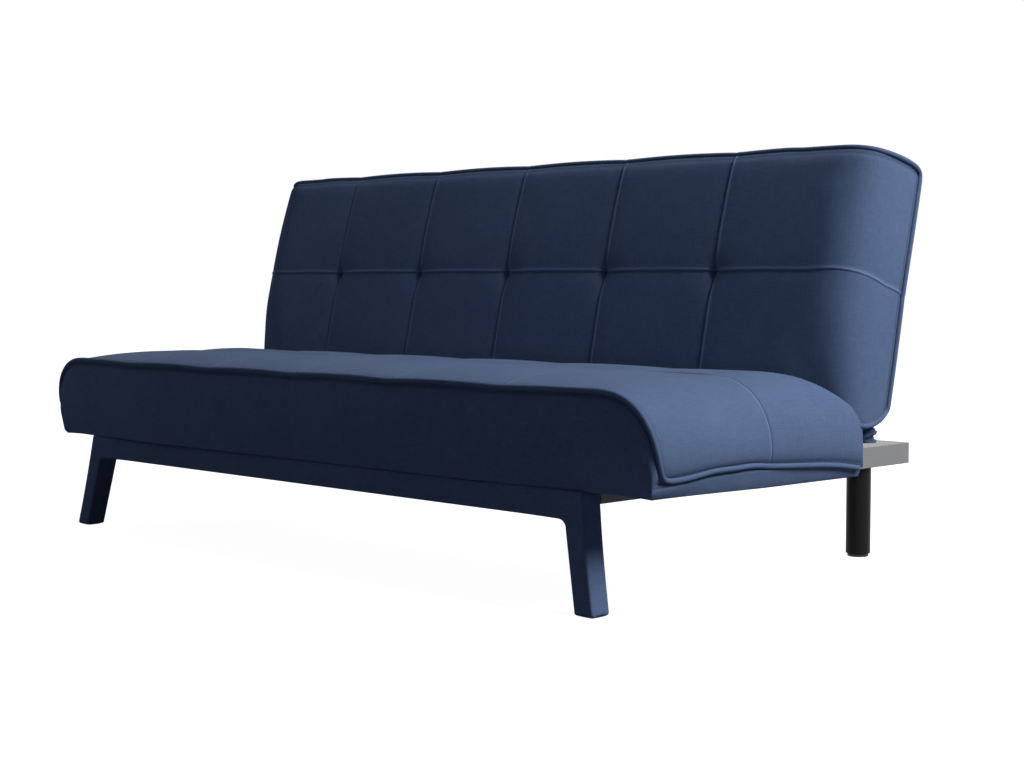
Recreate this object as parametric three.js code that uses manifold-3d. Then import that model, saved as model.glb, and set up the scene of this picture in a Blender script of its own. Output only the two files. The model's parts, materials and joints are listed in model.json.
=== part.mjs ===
// Click clack sofa bed. Millimetres, +Z up, +X to the sitter's left, -Y to the front, origin on the floor at
// the middle of the plan. The back reclines, and the seat lifts, about one pair of pivot bolts.
import * as THREE from "three";
import { mergeVertices } from "three/addons/utils/BufferGeometryUtils.js";
import Module from "manifold-3d";

const wasm = await Module();
wasm.setup();

// Overall sizes
const DEPTH = 1004;
const HALF_WIDTH = 908;
const SEAT_UNDERSIDE = 204;
const SEAT_THICK = 173;
const COLUMN_PITCH = 285;
const RECLINE_DEG = 12.9;
const FIT_GAP = 0.3;
const PLATE_GAP = 1;
const OVERRUN = 5;

// Pivot of the seat and of the back, above the rails, below the tuft line and behind the back's face
const PIVOT_Y = 144;
const PIVOT_RISE = 34.5;
const PIVOT_BELOW_TUFTS = 290.4;
const PIVOT_BEHIND_FACE = 125;

// Seat pad
const SEAT_FRONT = -DEPTH / 2;
const SEAT_LIP_Y = 131;
const SEAT_LIP_RISE = 13.5;
const SEAT_WALL_Y = 5;
const SEAT_SEAM_Y = -129;
const SEAT_CROWN = 11;
const SEAT_END_ROLL = 118;
const SEAT_END_DROP = 135;
const SEAT_END_TUCK = 34;
const SEAT_CORNER_INSET = 24;
const SEAT_SKIRT = 30;
const SEAT_FRONT_ROLL = 28;

// Back pad, in its own leaning frame: U up the face from the tuft line, V back from the face
const BACK_TOP_U = 228;
const BACK_BOTTOM_U = -269;
const BACK_THICK = 156;
const BACK_CROWN = 10;
const BACK_END_ROLL = 104;
const BACK_END_DEPTH = 112;
const BACK_EDGE_RADIUS = 26;
const BACK_HEEL_RADIUS = 62;
const BACK_WALL = 32;
const BACK_FOAM = 84;
const BACK_PANEL_THICK = 5;

// Base frame
const RAIL_INSET = 155.3;
const RAIL_WIDTH = 65.7;
const RAIL_HEIGHT = 42;
const RAIL_COVER = 18;
const REAR_RAIL_DEPTH = 48;
const CROSS_RAIL_DEPTH = 38;
const APRON_INSET = 24;
const APRON_THICK = 46;
const APRON_HEIGHT = 49;
const APRON_FILLET = 15;
const LEG_TOP_WIDTH = 47;
const LEG_FOOT_WIDTH = 40;
const LEG_INSET = 1.7;
const LEG_SPLAY = 40;
const LEG_FOOT_DEPTH = 41;
const LEG_LEAN = 17;
const GLIDE_HEIGHT = 8;
const REAR_LEG_RADIUS = 24.3;
const REAR_LEG_INSET = 131;
const REAR_GLIDE_HEIGHT = 6;
const REAR_GLIDE_RADIUS = 21;
const STUD_RADIUS = 5;
const STUD_DEPTH = 32;
const BRACKET_SHEET = 3;
const BRACKET_REACH = 60;
const BRACKET_DROP = 20;
const BRACKET_LENGTH = 90;

// Seat frame
const BAR_WIDTH = 38;
const BAR_HEIGHT = 30;
const FRAME_DEPTH = 30;
const FRAME_END_INSET = 63;
const END_FRAME_Y = 38;
const FRAME_REAR_Y = 100;
const SPRING_WIRE = 4;
const SPRING_COUNT = 5;
const SPRING_SWING = 26;
const SPRING_WAVES = 4;
const DUST_CLOTH = 1.2;

// Back frame
const STILE_WIDTH = 40;
const STILE_DEPTH = 45;
const BACK_RAIL_HEIGHT = 40;
const FRAME_MARGIN = 8;
const STRAP_COUNT = 4;
const STRAP_WIDTH = 50;
const STRAP_THICK = 3;

// Ratchet hinge
const PLATE_THICK = 6;
const BRACKET_THICK = 5;
const BOLT_RADIUS = 6;
const BOLT_CLEARANCE = 0.25;
const BOLT_HEAD_RADIUS = 11;
const BOLT_HEAD = 6;
const NUT_ACROSS = 20;
const NUT_THICK = 8;
const EYE_RADIUS = 18;
const BACK_ARM_LENGTH = 170;
const SECTOR_RADIUS = 34;
const TOOTH_DEPTH = 5;
const TOOTH_TIP_DEG = 3.6;
const TOOTH_ROOT_DEG = 4.6;
const RECLINE_STOPS = 6;
const PAWL_DEG = -102;
const PAWL_PIVOT_REACH = 59;
const PAWL_PIVOT_DROP = 45.5;
const PAWL_EYE = 8.5;
const PAWL_PIN_RADIUS = 4;
const PAWL_TOOTH_GAP = 0.45;
const PAWL_NECK = 7;
const TRIP_PIN_RADIUS = 3.5;
const TRIP_PIN_REACH = 26;
const TRIP_PIN_DROP = 43;
const PAWL_HEEL_DROP = 21;
const SPRING_ANCHOR_REACH = 12;
const COIL_WIRE = 0.75;
const COIL_TURNS = 12;
const COIL_SIDES = 5;
const COIL_STEPS = 8;
const HOOK_REACH = 7;
const STUD_PEG = 2.6;

// Crease gusset
const GUSSET_SHEET = 2;
const GUSSET_END_INSET = 40;

const lean = THREE.MathUtils.degToRad(RECLINE_DEG);
const reclineTravel = 90 - RECLINE_DEG;
const toothPitch = THREE.MathUtils.degToRad(reclineTravel / RECLINE_STOPS);
const seatTop = SEAT_UNDERSIDE + SEAT_THICK;
const railTop = SEAT_UNDERSIDE + RAIL_COVER;
const railBottom = railTop - RAIL_HEIGHT;
const pivotZ = railTop + PIVOT_RISE;
const lipTop = pivotZ + SEAT_LIP_RISE;
const railOuterX = HALF_WIDTH - RAIL_INSET;
const railInnerX = railOuterX - RAIL_WIDTH;
const frameEndX = HALF_WIDTH - FRAME_END_INSET;
const bracketX = railInnerX - FIT_GAP;
const backArmX = bracketX - BRACKET_THICK - PLATE_GAP;
const seatArmX = backArmX - PLATE_THICK - PLATE_GAP;
const barX = seatArmX - PLATE_THICK - FIT_GAP;
const stileX = backArmX - PLATE_THICK - FIT_GAP;
const apronFront = SEAT_FRONT + APRON_INSET;
const apronRear = apronFront + APRON_THICK;
const railFront = apronRear + FIT_GAP;
const railRear = DEPTH / 2;
const rearLegY = railRear - REAR_LEG_INSET;
const frameBottom = railTop + FIT_GAP;
const frameTop = frameBottom + BAR_HEIGHT;
const frameFront = apronRear + FIT_GAP;

// Finishes
const finish = (color, roughness, metalness) => new THREE.MeshStandardMaterial({ color, roughness, metalness });
const navyFabric = finish(0x2f3f66, 0.9, 0);
const greySteel = finish(0x8f9193, 0.45, 0.6);
const blackSteel = finish(0x202124, 0.4, 0.6);
const zincSteel = finish(0xb4b7ba, 0.35, 0.9);
const timber = finish(0xb98f5e, 0.75, 0);
const blackPlastic = finish(0x151515, 0.55, 0);
const blackCloth = finish(0x1b1b1d, 0.95, 0);
const webbing = finish(0x3a3a3c, 0.9, 0);

// A box between two corners
function block(x0, x1, y0, y1, z0, z1) {
  const g = new THREE.BoxGeometry(x1 - x0, y1 - y0, z1 - z0);
  return g.translate((x0 + x1) / 2, (y0 + y1) / 2, (z0 + z1) / 2);
}

// The order of a turned or extruded shape's axes: its x, y, z become Y, Z, X, so a side view is drawn as seen
const sideView = new THREE.Matrix4().set(0, 0, 1, 0, 1, 0, 0, 0, 0, 1, 0, 0, 0, 0, 0, 1);
// And for a front view, drawn in X and Z and extruded towards the front
const frontView = new THREE.Matrix4().set(1, 0, 0, 0, 0, 0, -1, 0, 0, 1, 0, 0, 0, 0, 0, 1);

function polygon(points) {
  return new THREE.Shape(points.map(([a, b]) => new THREE.Vector2(a, b)));
}

function extruded(shape, depth, curveSegments = 12) {
  return new THREE.ExtrudeGeometry(shape, { depth, bevelEnabled: false, curveSegments, steps: 1 });
}

// A plate drawn in Y and Z, from x0 to x0 + thickness
function plate(shape, x0, thickness) {
  return extruded(shape, thickness).applyMatrix4(sideView).translate(x0, 0, 0);
}

function roundHole(y, z, radius) {
  return new THREE.Path().absarc(y, z, radius, 0, 2 * Math.PI, true);
}

// A round bar along X about the line through y and z
function roundBar(x0, x1, y, z, radius, sides = 20) {
  const g = new THREE.CylinderGeometry(radius, radius, x1 - x0, sides);
  return g.rotateZ(-Math.PI / 2).translate((x0 + x1) / 2, y, z);
}

// The right-hand piece as it is, or its mirror image on the left
function handed(geometry, side) {
  if (side > 0) return geometry;
  const g = geometry.index ? geometry.toNonIndexed() : geometry.clone();
  g.scale(-1, 1, 1);
  const p = g.getAttribute("position");
  for (let i = 0; i < p.count; i += 3) {
    const kept = [p.getX(i), p.getY(i), p.getZ(i)];
    p.setXYZ(i, p.getX(i + 1), p.getY(i + 1), p.getZ(i + 1));
    p.setXYZ(i + 1, ...kept);
  }
  return g;
}

function toSolid(geometry) {
  const g = geometry.index ? geometry.toNonIndexed() : geometry;
  const bare = new THREE.BufferGeometry().setAttribute("position", g.getAttribute("position").clone());
  const merged = mergeVertices(bare, 1e-3);
  return new wasm.Manifold(
    new wasm.Mesh({
      numProp: 3,
      vertProperties: new Float32Array(merged.attributes.position.array),
      triVerts: new Uint32Array(merged.index.array),
    }),
  );
}

function toGeometry(solid) {
  const mesh = solid.getMesh();
  const g = new THREE.BufferGeometry();
  g.setAttribute("position", new THREE.BufferAttribute(new Float32Array(mesh.vertProperties), 3));
  g.setIndex(new THREE.BufferAttribute(new Uint32Array(mesh.triVerts), 1));
  return g;
}

function cut(geometry, ...tools) {
  return toGeometry(tools.reduce((solid, tool) => solid.subtract(toSolid(tool)), toSolid(geometry)));
}

function joined(geometry, ...others) {
  return toGeometry(others.reduce((solid, other) => solid.add(toSolid(other)), toSolid(geometry)));
}

// A closed skin over rings of points that all have the same count, with a flat cap on the first and last
function lofted(rings) {
  const count = rings[0].length;
  const points = rings.flat();
  const faces = [];
  for (let r = 0; r + 1 < rings.length; r += 1) {
    for (let i = 0; i < count; i += 1) {
      const a = r * count + i;
      const b = r * count + ((i + 1) % count);
      faces.push(a, b, b + count, a, b + count, a + count);
    }
  }
  const last = (rings.length - 1) * count;
  const outline = rings[0].map((p) => new THREE.Vector2(p.y, p.z));
  for (const [a, b, c] of THREE.ShapeUtils.triangulateShape(outline, [])) faces.push(a, c, b);
  const end = rings[rings.length - 1].map((p) => new THREE.Vector2(p.y, p.z));
  for (const [a, b, c] of THREE.ShapeUtils.triangulateShape(end, [])) faces.push(last + a, last + b, last + c);
  const g = new THREE.BufferGeometry().setFromPoints(points);
  g.setIndex(faces);
  return g.toNonIndexed();
}

const root = new THREE.Group();
const base = new THREE.Group();
const seat = new THREE.Group();
const back = new THREE.Group();
root.add(base, seat, back);

function place(group, name, geometry, material) {
  const mesh = new THREE.Mesh(geometry, material);
  mesh.name = name;
  group.add(mesh);
}

const SIDES = [
  ["right", 1],
  ["left", -1],
];

// Front leg frame: an upholstered apron with rounded shoulders, and two legs that splay out and lean forward
const legTop = SEAT_UNDERSIDE - FIT_GAP;
const legTopOuterX = railOuterX - LEG_INSET;
const legFootOuterX = legTopOuterX + LEG_SPLAY;
const legFootInnerX = legFootOuterX - LEG_FOOT_WIDTH;
const legTopInnerX = legTopOuterX - LEG_TOP_WIDTH;
// The inner, outer and front face of a leg at the height z
const legInner = (z) => THREE.MathUtils.mapLinear(z, 0, legTop, legFootInnerX, legTopInnerX);
const legOuter = (z) => THREE.MathUtils.mapLinear(z, 0, legTop, legFootOuterX, legTopOuterX);
const legFront = (z) => THREE.MathUtils.mapLinear(z, 0, legTop, apronFront - LEG_LEAN, apronFront);
const legRear = (z) => legFront(z) + THREE.MathUtils.mapLinear(z, 0, legTop, LEG_FOOT_DEPTH, APRON_THICK);

// A leaning post between two heights, drawn in by inset on every side
function legBlock(z0, z1, inset) {
  const corner = (x, y, z) => new THREE.Vector3(x, y, z);
  const ring = (inner, grow) =>
    [z0, z1].flatMap((z) => {
      const x = inner ? legInner(z) + grow : legOuter(z) - grow;
      const ends = [corner(x, legFront(z) + inset, z), corner(x, legRear(z) - inset, z)];
      return z === z0 ? ends : ends.reverse();
    });
  return lofted([ring(true, inset), ring(false, inset)]);
}

const shoulder = new THREE.Shape();
const apronBottom = SEAT_UNDERSIDE - APRON_HEIGHT;
const apronEnd = (z) => legInner(z) - FIT_GAP;
const filletFoot = apronBottom - APRON_FILLET;
shoulder.moveTo(-apronEnd(legTop), legTop);
shoulder.lineTo(-apronEnd(filletFoot), filletFoot);
shoulder.quadraticCurveTo(-apronEnd(apronBottom), apronBottom, APRON_FILLET - apronEnd(apronBottom), apronBottom);
shoulder.lineTo(apronEnd(apronBottom) - APRON_FILLET, apronBottom);
shoulder.quadraticCurveTo(apronEnd(apronBottom), apronBottom, apronEnd(filletFoot), filletFoot);
shoulder.lineTo(apronEnd(legTop), legTop);
place(
  base,
  "front_apron",
  extruded(shoulder, APRON_THICK, 6).applyMatrix4(frontView).translate(0, apronRear, 0),
  navyFabric,
);

const glideInset = FIT_GAP;
for (const [hand, side] of SIDES) {
  place(base, `front_leg_${hand}`, handed(legBlock(GLIDE_HEIGHT + FIT_GAP, legTop, 0), side), navyFabric);
  place(base, `front_glide_${hand}`, handed(legBlock(0, GLIDE_HEIGHT, glideInset), side), blackPlastic);
}

// Base rails: two box rails run from the apron to the rear, joined across the back and behind the apron
const rearLegX = railOuterX - RAIL_WIDTH / 2;
const studHole = (z0, z1) =>
  new THREE.CylinderGeometry(STUD_RADIUS + BOLT_CLEARANCE, STUD_RADIUS + BOLT_CLEARANCE, z1 - z0, 12)
    .rotateX(Math.PI / 2)
    .translate(rearLegX, rearLegY, (z0 + z1) / 2);
for (const [hand, side] of SIDES) {
  const rail = cut(
    block(railInnerX, railOuterX, railFront, railRear, railBottom, railTop),
    studHole(railBottom - OVERRUN, railBottom + STUD_DEPTH),
  );
  place(base, `side_rail_${hand}`, handed(rail, side), greySteel);
}
const crossReach = railInnerX - FIT_GAP;
place(
  base,
  "rear_rail",
  block(-crossReach, crossReach, railRear - REAR_RAIL_DEPTH, railRear, railBottom, railTop),
  greySteel,
);
place(
  base,
  "front_cross_rail",
  block(-crossReach, crossReach, railFront, railFront + CROSS_RAIL_DEPTH, railBottom, railTop),
  greySteel,
);

// Angle brackets hold the apron to the underside of the rails
const bracketTop = railBottom - FIT_GAP;
const angle = polygon([
  [railFront, bracketTop],
  [railFront, bracketTop - BRACKET_DROP],
  [railFront + BRACKET_SHEET, bracketTop - BRACKET_DROP],
  [railFront + BRACKET_SHEET, bracketTop - BRACKET_SHEET],
  [railFront + BRACKET_REACH, bracketTop - BRACKET_SHEET],
  [railFront + BRACKET_REACH, bracketTop],
]);
for (const [hand, side] of SIDES) {
  const sheet = plate(angle, railInnerX - BRACKET_LENGTH / 2, BRACKET_LENGTH);
  place(base, `apron_bracket_${hand}`, handed(sheet, side), zincSteel);
}

// Rear legs: black tubes screwed up into the rails by a stud, each on a round glide
const legHead = railBottom - FIT_GAP;
const rearLegFoot = REAR_GLIDE_HEIGHT + FIT_GAP;
const studFoot = legHead - STUD_DEPTH;
const legBore = STUD_RADIUS + BOLT_CLEARANCE;
const rearLegProfile = [
  [0, rearLegFoot],
  [REAR_LEG_RADIUS, rearLegFoot],
  [REAR_LEG_RADIUS, legHead],
  [legBore, legHead],
  [legBore, studFoot - FIT_GAP],
  [0, studFoot - FIT_GAP],
];
const turned = (profile, sides) =>
  new THREE.LatheGeometry(profile.map(([r, z]) => new THREE.Vector2(r, z)), sides).rotateX(Math.PI / 2);
for (const [hand, side] of SIDES) {
  const at = (g) => g.translate(side * rearLegX, rearLegY, 0);
  place(base, `rear_leg_${hand}`, at(turned(rearLegProfile, 32)), blackSteel);
  const studHead = railBottom + STUD_DEPTH - FIT_GAP;
  const stud = [
    [0, studFoot],
    [STUD_RADIUS, studFoot],
    [STUD_RADIUS, studHead],
    [0, studHead],
  ];
  place(base, `rear_leg_stud_${hand}`, at(turned(stud, 12)), zincSteel);
  const glide = [
    [0, 0],
    [REAR_GLIDE_RADIUS - 1.5 * FIT_GAP, 0],
    [REAR_GLIDE_RADIUS, REAR_GLIDE_HEIGHT / 3],
    [REAR_GLIDE_RADIUS, REAR_GLIDE_HEIGHT],
    [0, REAR_GLIDE_HEIGHT],
  ];
  place(base, `rear_glide_${hand}`, at(turned(glide, 24)), blackPlastic);
}

// Seat frame: four timber bars under the pad, two end frames out to the pad's ends, wavy springs between
const seatRecessFront = frameFront;
place(
  seat,
  "seat_frame_front",
  block(-frameEndX, frameEndX, seatRecessFront, seatRecessFront + FRAME_DEPTH, frameBottom, frameTop),
  timber,
);
const barFront = seatRecessFront + FRAME_DEPTH + FIT_GAP;
const barInnerX = barX - BAR_WIDTH;
place(
  seat,
  "seat_frame_rear",
  block(
    FIT_GAP - barInnerX,
    barInnerX - FIT_GAP,
    FRAME_REAR_Y - FRAME_DEPTH,
    FRAME_REAR_Y,
    frameBottom,
    frameTop,
  ),
  timber,
);
const endFrame = polygon([
  [barX + FIT_GAP, END_FRAME_Y],
  [barX + FIT_GAP, END_FRAME_Y - FRAME_DEPTH],
  [frameEndX - FRAME_DEPTH, END_FRAME_Y - FRAME_DEPTH],
  [frameEndX - FRAME_DEPTH, barFront],
  [frameEndX, barFront],
  [frameEndX, END_FRAME_Y],
]);
for (const [hand, side] of SIDES) {
  const bar = block(barInnerX, barX, barFront, FRAME_REAR_Y, frameBottom, frameTop);
  place(seat, `seat_bar_${hand}`, handed(bar, side), timber);
  const end = extruded(endFrame, BAR_HEIGHT).translate(0, 0, frameBottom);
  place(seat, `seat_end_frame_${hand}`, handed(end, side), timber);
}

// One wavy spring, from the front bar to the rear bar
class WaveLine extends THREE.Curve {
  constructor(y0, y1, x, z, swing, waves) {
    super();
    Object.assign(this, { y0, y1, x, z, swing, waves });
  }

  getPoint(t, target = new THREE.Vector3()) {
    const turn = 2 * Math.PI * this.waves * t;
    const fade = Math.min(1, t * this.waves * 2, (1 - t) * this.waves * 2);
    const y = THREE.MathUtils.lerp(this.y0, this.y1, t);
    return target.set(this.x + this.swing * fade * Math.sin(turn), y, this.z);
  }
}

function tube(path, radius, steps, sides) {
  const section = new THREE.Shape();
  for (let i = 0; i < sides; i += 1) {
    const turn = (2 * Math.PI * i) / sides;
    const [a, b] = [radius * Math.cos(turn), radius * Math.sin(turn)];
    if (i === 0) section.moveTo(a, b);
    else section.lineTo(a, b);
  }
  return new THREE.ExtrudeGeometry(section, { steps, bevelEnabled: false, extrudePath: path });
}

const springZ = frameTop + FIT_GAP + SPRING_WIRE / 2;
const springPitch = (2 * barInnerX) / (SPRING_COUNT + 0.5);
const springFront = seatRecessFront + FRAME_DEPTH / 2;
const springRear = FRAME_REAR_Y - FRAME_DEPTH / 2;
for (let i = 0; i < SPRING_COUNT; i += 1) {
  const x = (i - (SPRING_COUNT - 1) / 2) * springPitch;
  const wave = new WaveLine(springFront, springRear, x, springZ, SPRING_SWING, SPRING_WAVES);
  place(seat, `seat_spring_${i + 1}`, tube(wave, SPRING_WIRE / 2, SPRING_WAVES * 12, 5), zincSteel);
}
place(
  seat,
  "seat_dust_cloth",
  block(
    FIT_GAP - barInnerX + BAR_WIDTH / 2,
    barInnerX - BAR_WIDTH / 2 - FIT_GAP,
    railFront + CROSS_RAIL_DEPTH + FIT_GAP,
    FRAME_REAR_Y,
    frameBottom - FIT_GAP - DUST_CLOTH,
    frameBottom - FIT_GAP,
  ),
  blackCloth,
);

// Seams every pitch along the length and one or two along the depth: the cloth swells between them
const swellShare = 0.55;
const swell = (a, b) => swellShare * a * b + (1 - swellShare) * 0.5 * (a + b);
const arch = (t) => Math.sqrt(Math.abs(Math.sin(Math.PI * t)));
// The stations along the length: four to a column, then closer and closer down the end roll
const COLUMN_STEPS = 4;
const rollShares = [0.12, 0.3, 0.48, 0.64, 0.78, 0.88, 0.95, 1];

function stations(flatEnd, roll) {
  const inner = [];
  const columns = Math.floor(flatEnd / COLUMN_PITCH);
  for (let i = 0; i < columns * COLUMN_STEPS; i += 1) inner.push((i / COLUMN_STEPS) * COLUMN_PITCH);
  const start = columns * COLUMN_PITCH;
  for (let i = 0; i < COLUMN_STEPS; i += 1) inner.push(start + ((flatEnd - start) * i) / COLUMN_STEPS);
  inner.push(flatEnd);
  rollShares.forEach((share) => inner.push(flatEnd + share * roll));
  return [...inner.slice(1).reverse().map((x) => -x), ...inner];
}

// 0 on a seam and 1 midway, and along the end column it grows once and stays
const columnSwell = (x) => {
  const outer = COLUMN_PITCH * Math.floor(HALF_WIDTH / COLUMN_PITCH - 1);
  const past = (Math.abs(x) - outer) / (HALF_WIDTH - outer);
  return past > 0 ? arch(Math.min(past, 0.5)) : arch(x / COLUMN_PITCH);
};
// How far along the end roll a station is, and the drop of a quarter ellipse there
const rollShare = (x, roll) => Math.max(0, (Math.abs(x) - HALF_WIDTH + roll) / roll);
const quarter = (t) => 1 - Math.sqrt(Math.max(0, 1 - t * t));

// Seat pad: one section from the lower front edge up over the top to the rear lip and back underneath
const frontShares = [
  [0.62, 0],
  [0.25, 0.26],
  [0, 0.52],
  [0.1, 0.78],
  [0.5, 0.94],
];
const topShares = [0.04, 0.16, 0.5, 0.84, 1];

function seatSection(x) {
  const t = rollShare(x, SEAT_END_ROLL);
  const drop = SEAT_END_DROP * quarter(t);
  const tuck = (seatTop - SEAT_END_DROP - SEAT_UNDERSIDE) * THREE.MathUtils.smoothstep(t, 0.7, 1.05);
  const bottom = SEAT_UNDERSIDE + tuck * (1 - SEAT_END_TUCK / SEAT_END_ROLL);
  const top = Math.max(bottom + SEAT_CROWN / 2, seatTop - drop);
  const height = top - bottom;
  const inset = SEAT_CORNER_INSET * THREE.MathUtils.smoothstep(Math.abs(x) / HALF_WIDTH, 0.55, 1);
  const across = columnSwell(x);
  const crown = SEAT_CROWN * (1 - quarter(Math.min(1, t)));
  const point = (y, z) => new THREE.Vector3(x, y, z);
  const ring = frontShares.map(([a, b]) => point(SEAT_FRONT + inset + a * SEAT_SKIRT, bottom + b * height));
  const topFront = SEAT_FRONT + SEAT_FRONT_ROLL + inset;
  const row = (y0, y1) =>
    topShares.slice(0, -1).forEach((share) => {
      ring.push(point(THREE.MathUtils.lerp(y0, y1, share), top + crown * swell(across, arch(share))));
    });
  row(topFront, SEAT_SEAM_Y);
  row(SEAT_SEAM_Y, SEAT_WALL_Y - SEAT_CROWN);
  ring.push(point(SEAT_WALL_Y - SEAT_CROWN, top - SEAT_CROWN / 4));
  ring.push(point(SEAT_WALL_Y, top - SEAT_CROWN));
  const lip = Math.max(bottom + SEAT_CROWN / 4, Math.min(lipTop, top - 2 * SEAT_CROWN));
  ring.push(point(SEAT_WALL_Y, Math.max(lip, bottom + SEAT_CROWN / 3)));
  ring.push(point(SEAT_LIP_Y - SEAT_CROWN, lip));
  ring.push(point(SEAT_LIP_Y, Math.max(bottom + SEAT_CROWN / 5, lip - SEAT_CROWN)));
  ring.push(point(SEAT_LIP_Y - SEAT_CROWN / 4, bottom));
  return ring.reverse();
}

const seatStations = stations(HALF_WIDTH - SEAT_END_ROLL, SEAT_END_ROLL);
const recessX = frameEndX + FIT_GAP;
const recessTop = springZ + SPRING_WIRE / 2 + 2 * FIT_GAP;
const seatRecess = block(
  -recessX,
  recessX,
  seatRecessFront - FIT_GAP,
  FRAME_REAR_Y + FIT_GAP,
  SEAT_UNDERSIDE - OVERRUN,
  recessTop,
);
// The rails leave under the rear lip, and each hinge has a pocket in it
const pocketGap = 2 * PLATE_GAP;
const railSlots = SIDES.map(([, side]) =>
  handed(
    block(
      railInnerX - pocketGap,
      railOuterX + pocketGap,
      FRAME_REAR_Y - OVERRUN,
      SEAT_LIP_Y + OVERRUN,
      SEAT_UNDERSIDE - OVERRUN,
      railTop + pocketGap,
    ),
    side,
  ),
);
const hingePockets = SIDES.map(([, side]) =>
  handed(
    block(
      barX - pocketGap,
      railInnerX + pocketGap,
      FRAME_REAR_Y - OVERRUN,
      SEAT_LIP_Y + OVERRUN,
      SEAT_UNDERSIDE - OVERRUN,
      lipTop + OVERRUN,
    ),
    side,
  ),
);
place(
  seat,
  "seat_pad",
  cut(lofted(seatStations.map(seatSection)), seatRecess, ...railSlots, ...hingePockets),
  navyFabric,
);

// A point of the back, from its own leaning frame into Y and Z
const up = [Math.sin(lean), Math.cos(lean)];
const rear = [Math.cos(lean), -Math.sin(lean)];
const pivotU = -PIVOT_BELOW_TUFTS;
const pivotV = PIVOT_BEHIND_FACE;
const onBack = (u, v) => [
  PIVOT_Y + (u - pivotU) * up[0] + (v - pivotV) * rear[0],
  pivotZ + (u - pivotU) * up[1] + (v - pivotV) * rear[1],
];
const backPoint = (x, u, v) => new THREE.Vector3(x, ...onBack(u, v));

// Back pad: one section from the lower heel up the face, over the top edge and down the rear
const faceShares = [0.06, 0.2, 0.5, 0.8, 1];
const edgeShares = [0.3, 0.7];

function backSection(x) {
  const t = rollShare(x, BACK_END_ROLL);
  const face = BACK_END_DEPTH * quarter(t);
  const across = columnSwell(x);
  const crown = BACK_CROWN * (1 - 0.7 * quarter(Math.min(1, t)));
  const ring = [];
  const push = (u, v) => ring.push(backPoint(x, u, Math.min(v, BACK_THICK)));
  const softTop = BACK_TOP_U + (BACK_CROWN / 2) * across;
  const edge = Math.min(BACK_EDGE_RADIUS, (BACK_THICK - face) / 2);
  push(BACK_BOTTOM_U + edge * 0.3, face + edge * 0.3);
  const rows = [
    [BACK_BOTTOM_U + edge, 0],
    [0, softTop - edge],
  ];
  for (const [u0, u1] of rows) {
    faceShares.slice(0, -1).forEach((share) => {
      push(THREE.MathUtils.lerp(u0, u1, share), face - crown * swell(across, arch(share)));
    });
  }
  push(softTop - edge, face - crown * 0.2);
  for (const share of edgeShares) push(softTop - edge * (1 - share) ** 2, face + edge * share ** 2);
  push(softTop, face + edge);
  push(softTop, BACK_THICK - BACK_CROWN);
  push(softTop - BACK_CROWN, BACK_THICK);
  const heel = Math.min(BACK_HEEL_RADIUS, BACK_THICK - face - edge);
  push(BACK_BOTTOM_U + heel, BACK_THICK);
  push(BACK_BOTTOM_U + heel * 0.3, BACK_THICK - heel * 0.3);
  push(BACK_BOTTOM_U, BACK_THICK - heel);
  push(BACK_BOTTOM_U, face + edge);
  return ring.reverse();
}

// A block drawn in the back's own frame
function backBlock(x0, x1, u0, u1, v0, v1) {
  const corners = [
    [u0, v0],
    [u0, v1],
    [u1, v1],
    [u1, v0],
  ];
  return plate(polygon(corners.map(([u, v]) => onBack(u, v))), x0, x1 - x0);
}

const backStations = stations(HALF_WIDTH - BACK_END_ROLL, BACK_END_ROLL);
const backRecessX = HALF_WIDTH - BACK_END_ROLL / 2 - BACK_WALL;
const recessFoot = BACK_BOTTOM_U + BACK_HEEL_RADIUS;
const recessHead = BACK_TOP_U - BACK_WALL;
const backRecess = backBlock(
  -backRecessX,
  backRecessX,
  recessFoot,
  recessHead,
  BACK_FOAM,
  BACK_THICK + OVERRUN,
);
const armPockets = SIDES.map(([, side]) =>
  handed(
    backBlock(
      barX - pocketGap,
      railInnerX + pocketGap,
      BACK_BOTTOM_U - OVERRUN,
      recessFoot + OVERRUN,
      BACK_FOAM,
      BACK_THICK + OVERRUN,
    ),
    side,
  ),
);
place(
  back,
  "back_pad",
  cut(lofted(backStations.map(backSection)), backRecess, ...armPockets),
  navyFabric,
);
place(
  back,
  "back_panel",
  backBlock(
    FIT_GAP - backRecessX,
    backRecessX - FIT_GAP,
    recessFoot + FIT_GAP,
    recessHead - FIT_GAP,
    BACK_THICK - BACK_PANEL_THICK,
    BACK_THICK,
  ),
  navyFabric,
);

// Back frame: two stiles that carry the hinge arms, a rail across the top and the foot, straps between
const frameV1 = BACK_THICK - BACK_PANEL_THICK - FIT_GAP;
const frameV0 = frameV1 - STILE_DEPTH;
const frameFoot = recessFoot + FRAME_MARGIN;
const frameHead = recessHead - FRAME_MARGIN;
const stileInnerX = stileX - STILE_WIDTH;
for (const [hand, side] of SIDES) {
  const stile = backBlock(
    stileInnerX,
    stileX,
    frameFoot + BACK_RAIL_HEIGHT + FIT_GAP,
    frameHead - BACK_RAIL_HEIGHT - FIT_GAP,
    frameV0,
    frameV1,
  );
  place(back, `back_stile_${hand}`, handed(stile, side), timber);
}
const backRailX = backRecessX - FRAME_MARGIN;
const backRail = (u0) =>
  backBlock(-backRailX, backRailX, u0, u0 + BACK_RAIL_HEIGHT, frameV0, frameV1);
place(back, "back_top_rail", backRail(frameHead - BACK_RAIL_HEIGHT), timber);
const footRailX = stileX;
place(
  back,
  "back_foot_rail",
  backBlock(-footRailX, footRailX, frameFoot, frameFoot + BACK_RAIL_HEIGHT, frameV0, frameV1),
  timber,
);
const strapRoom = frameHead - frameFoot - 2 * BACK_RAIL_HEIGHT;
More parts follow.
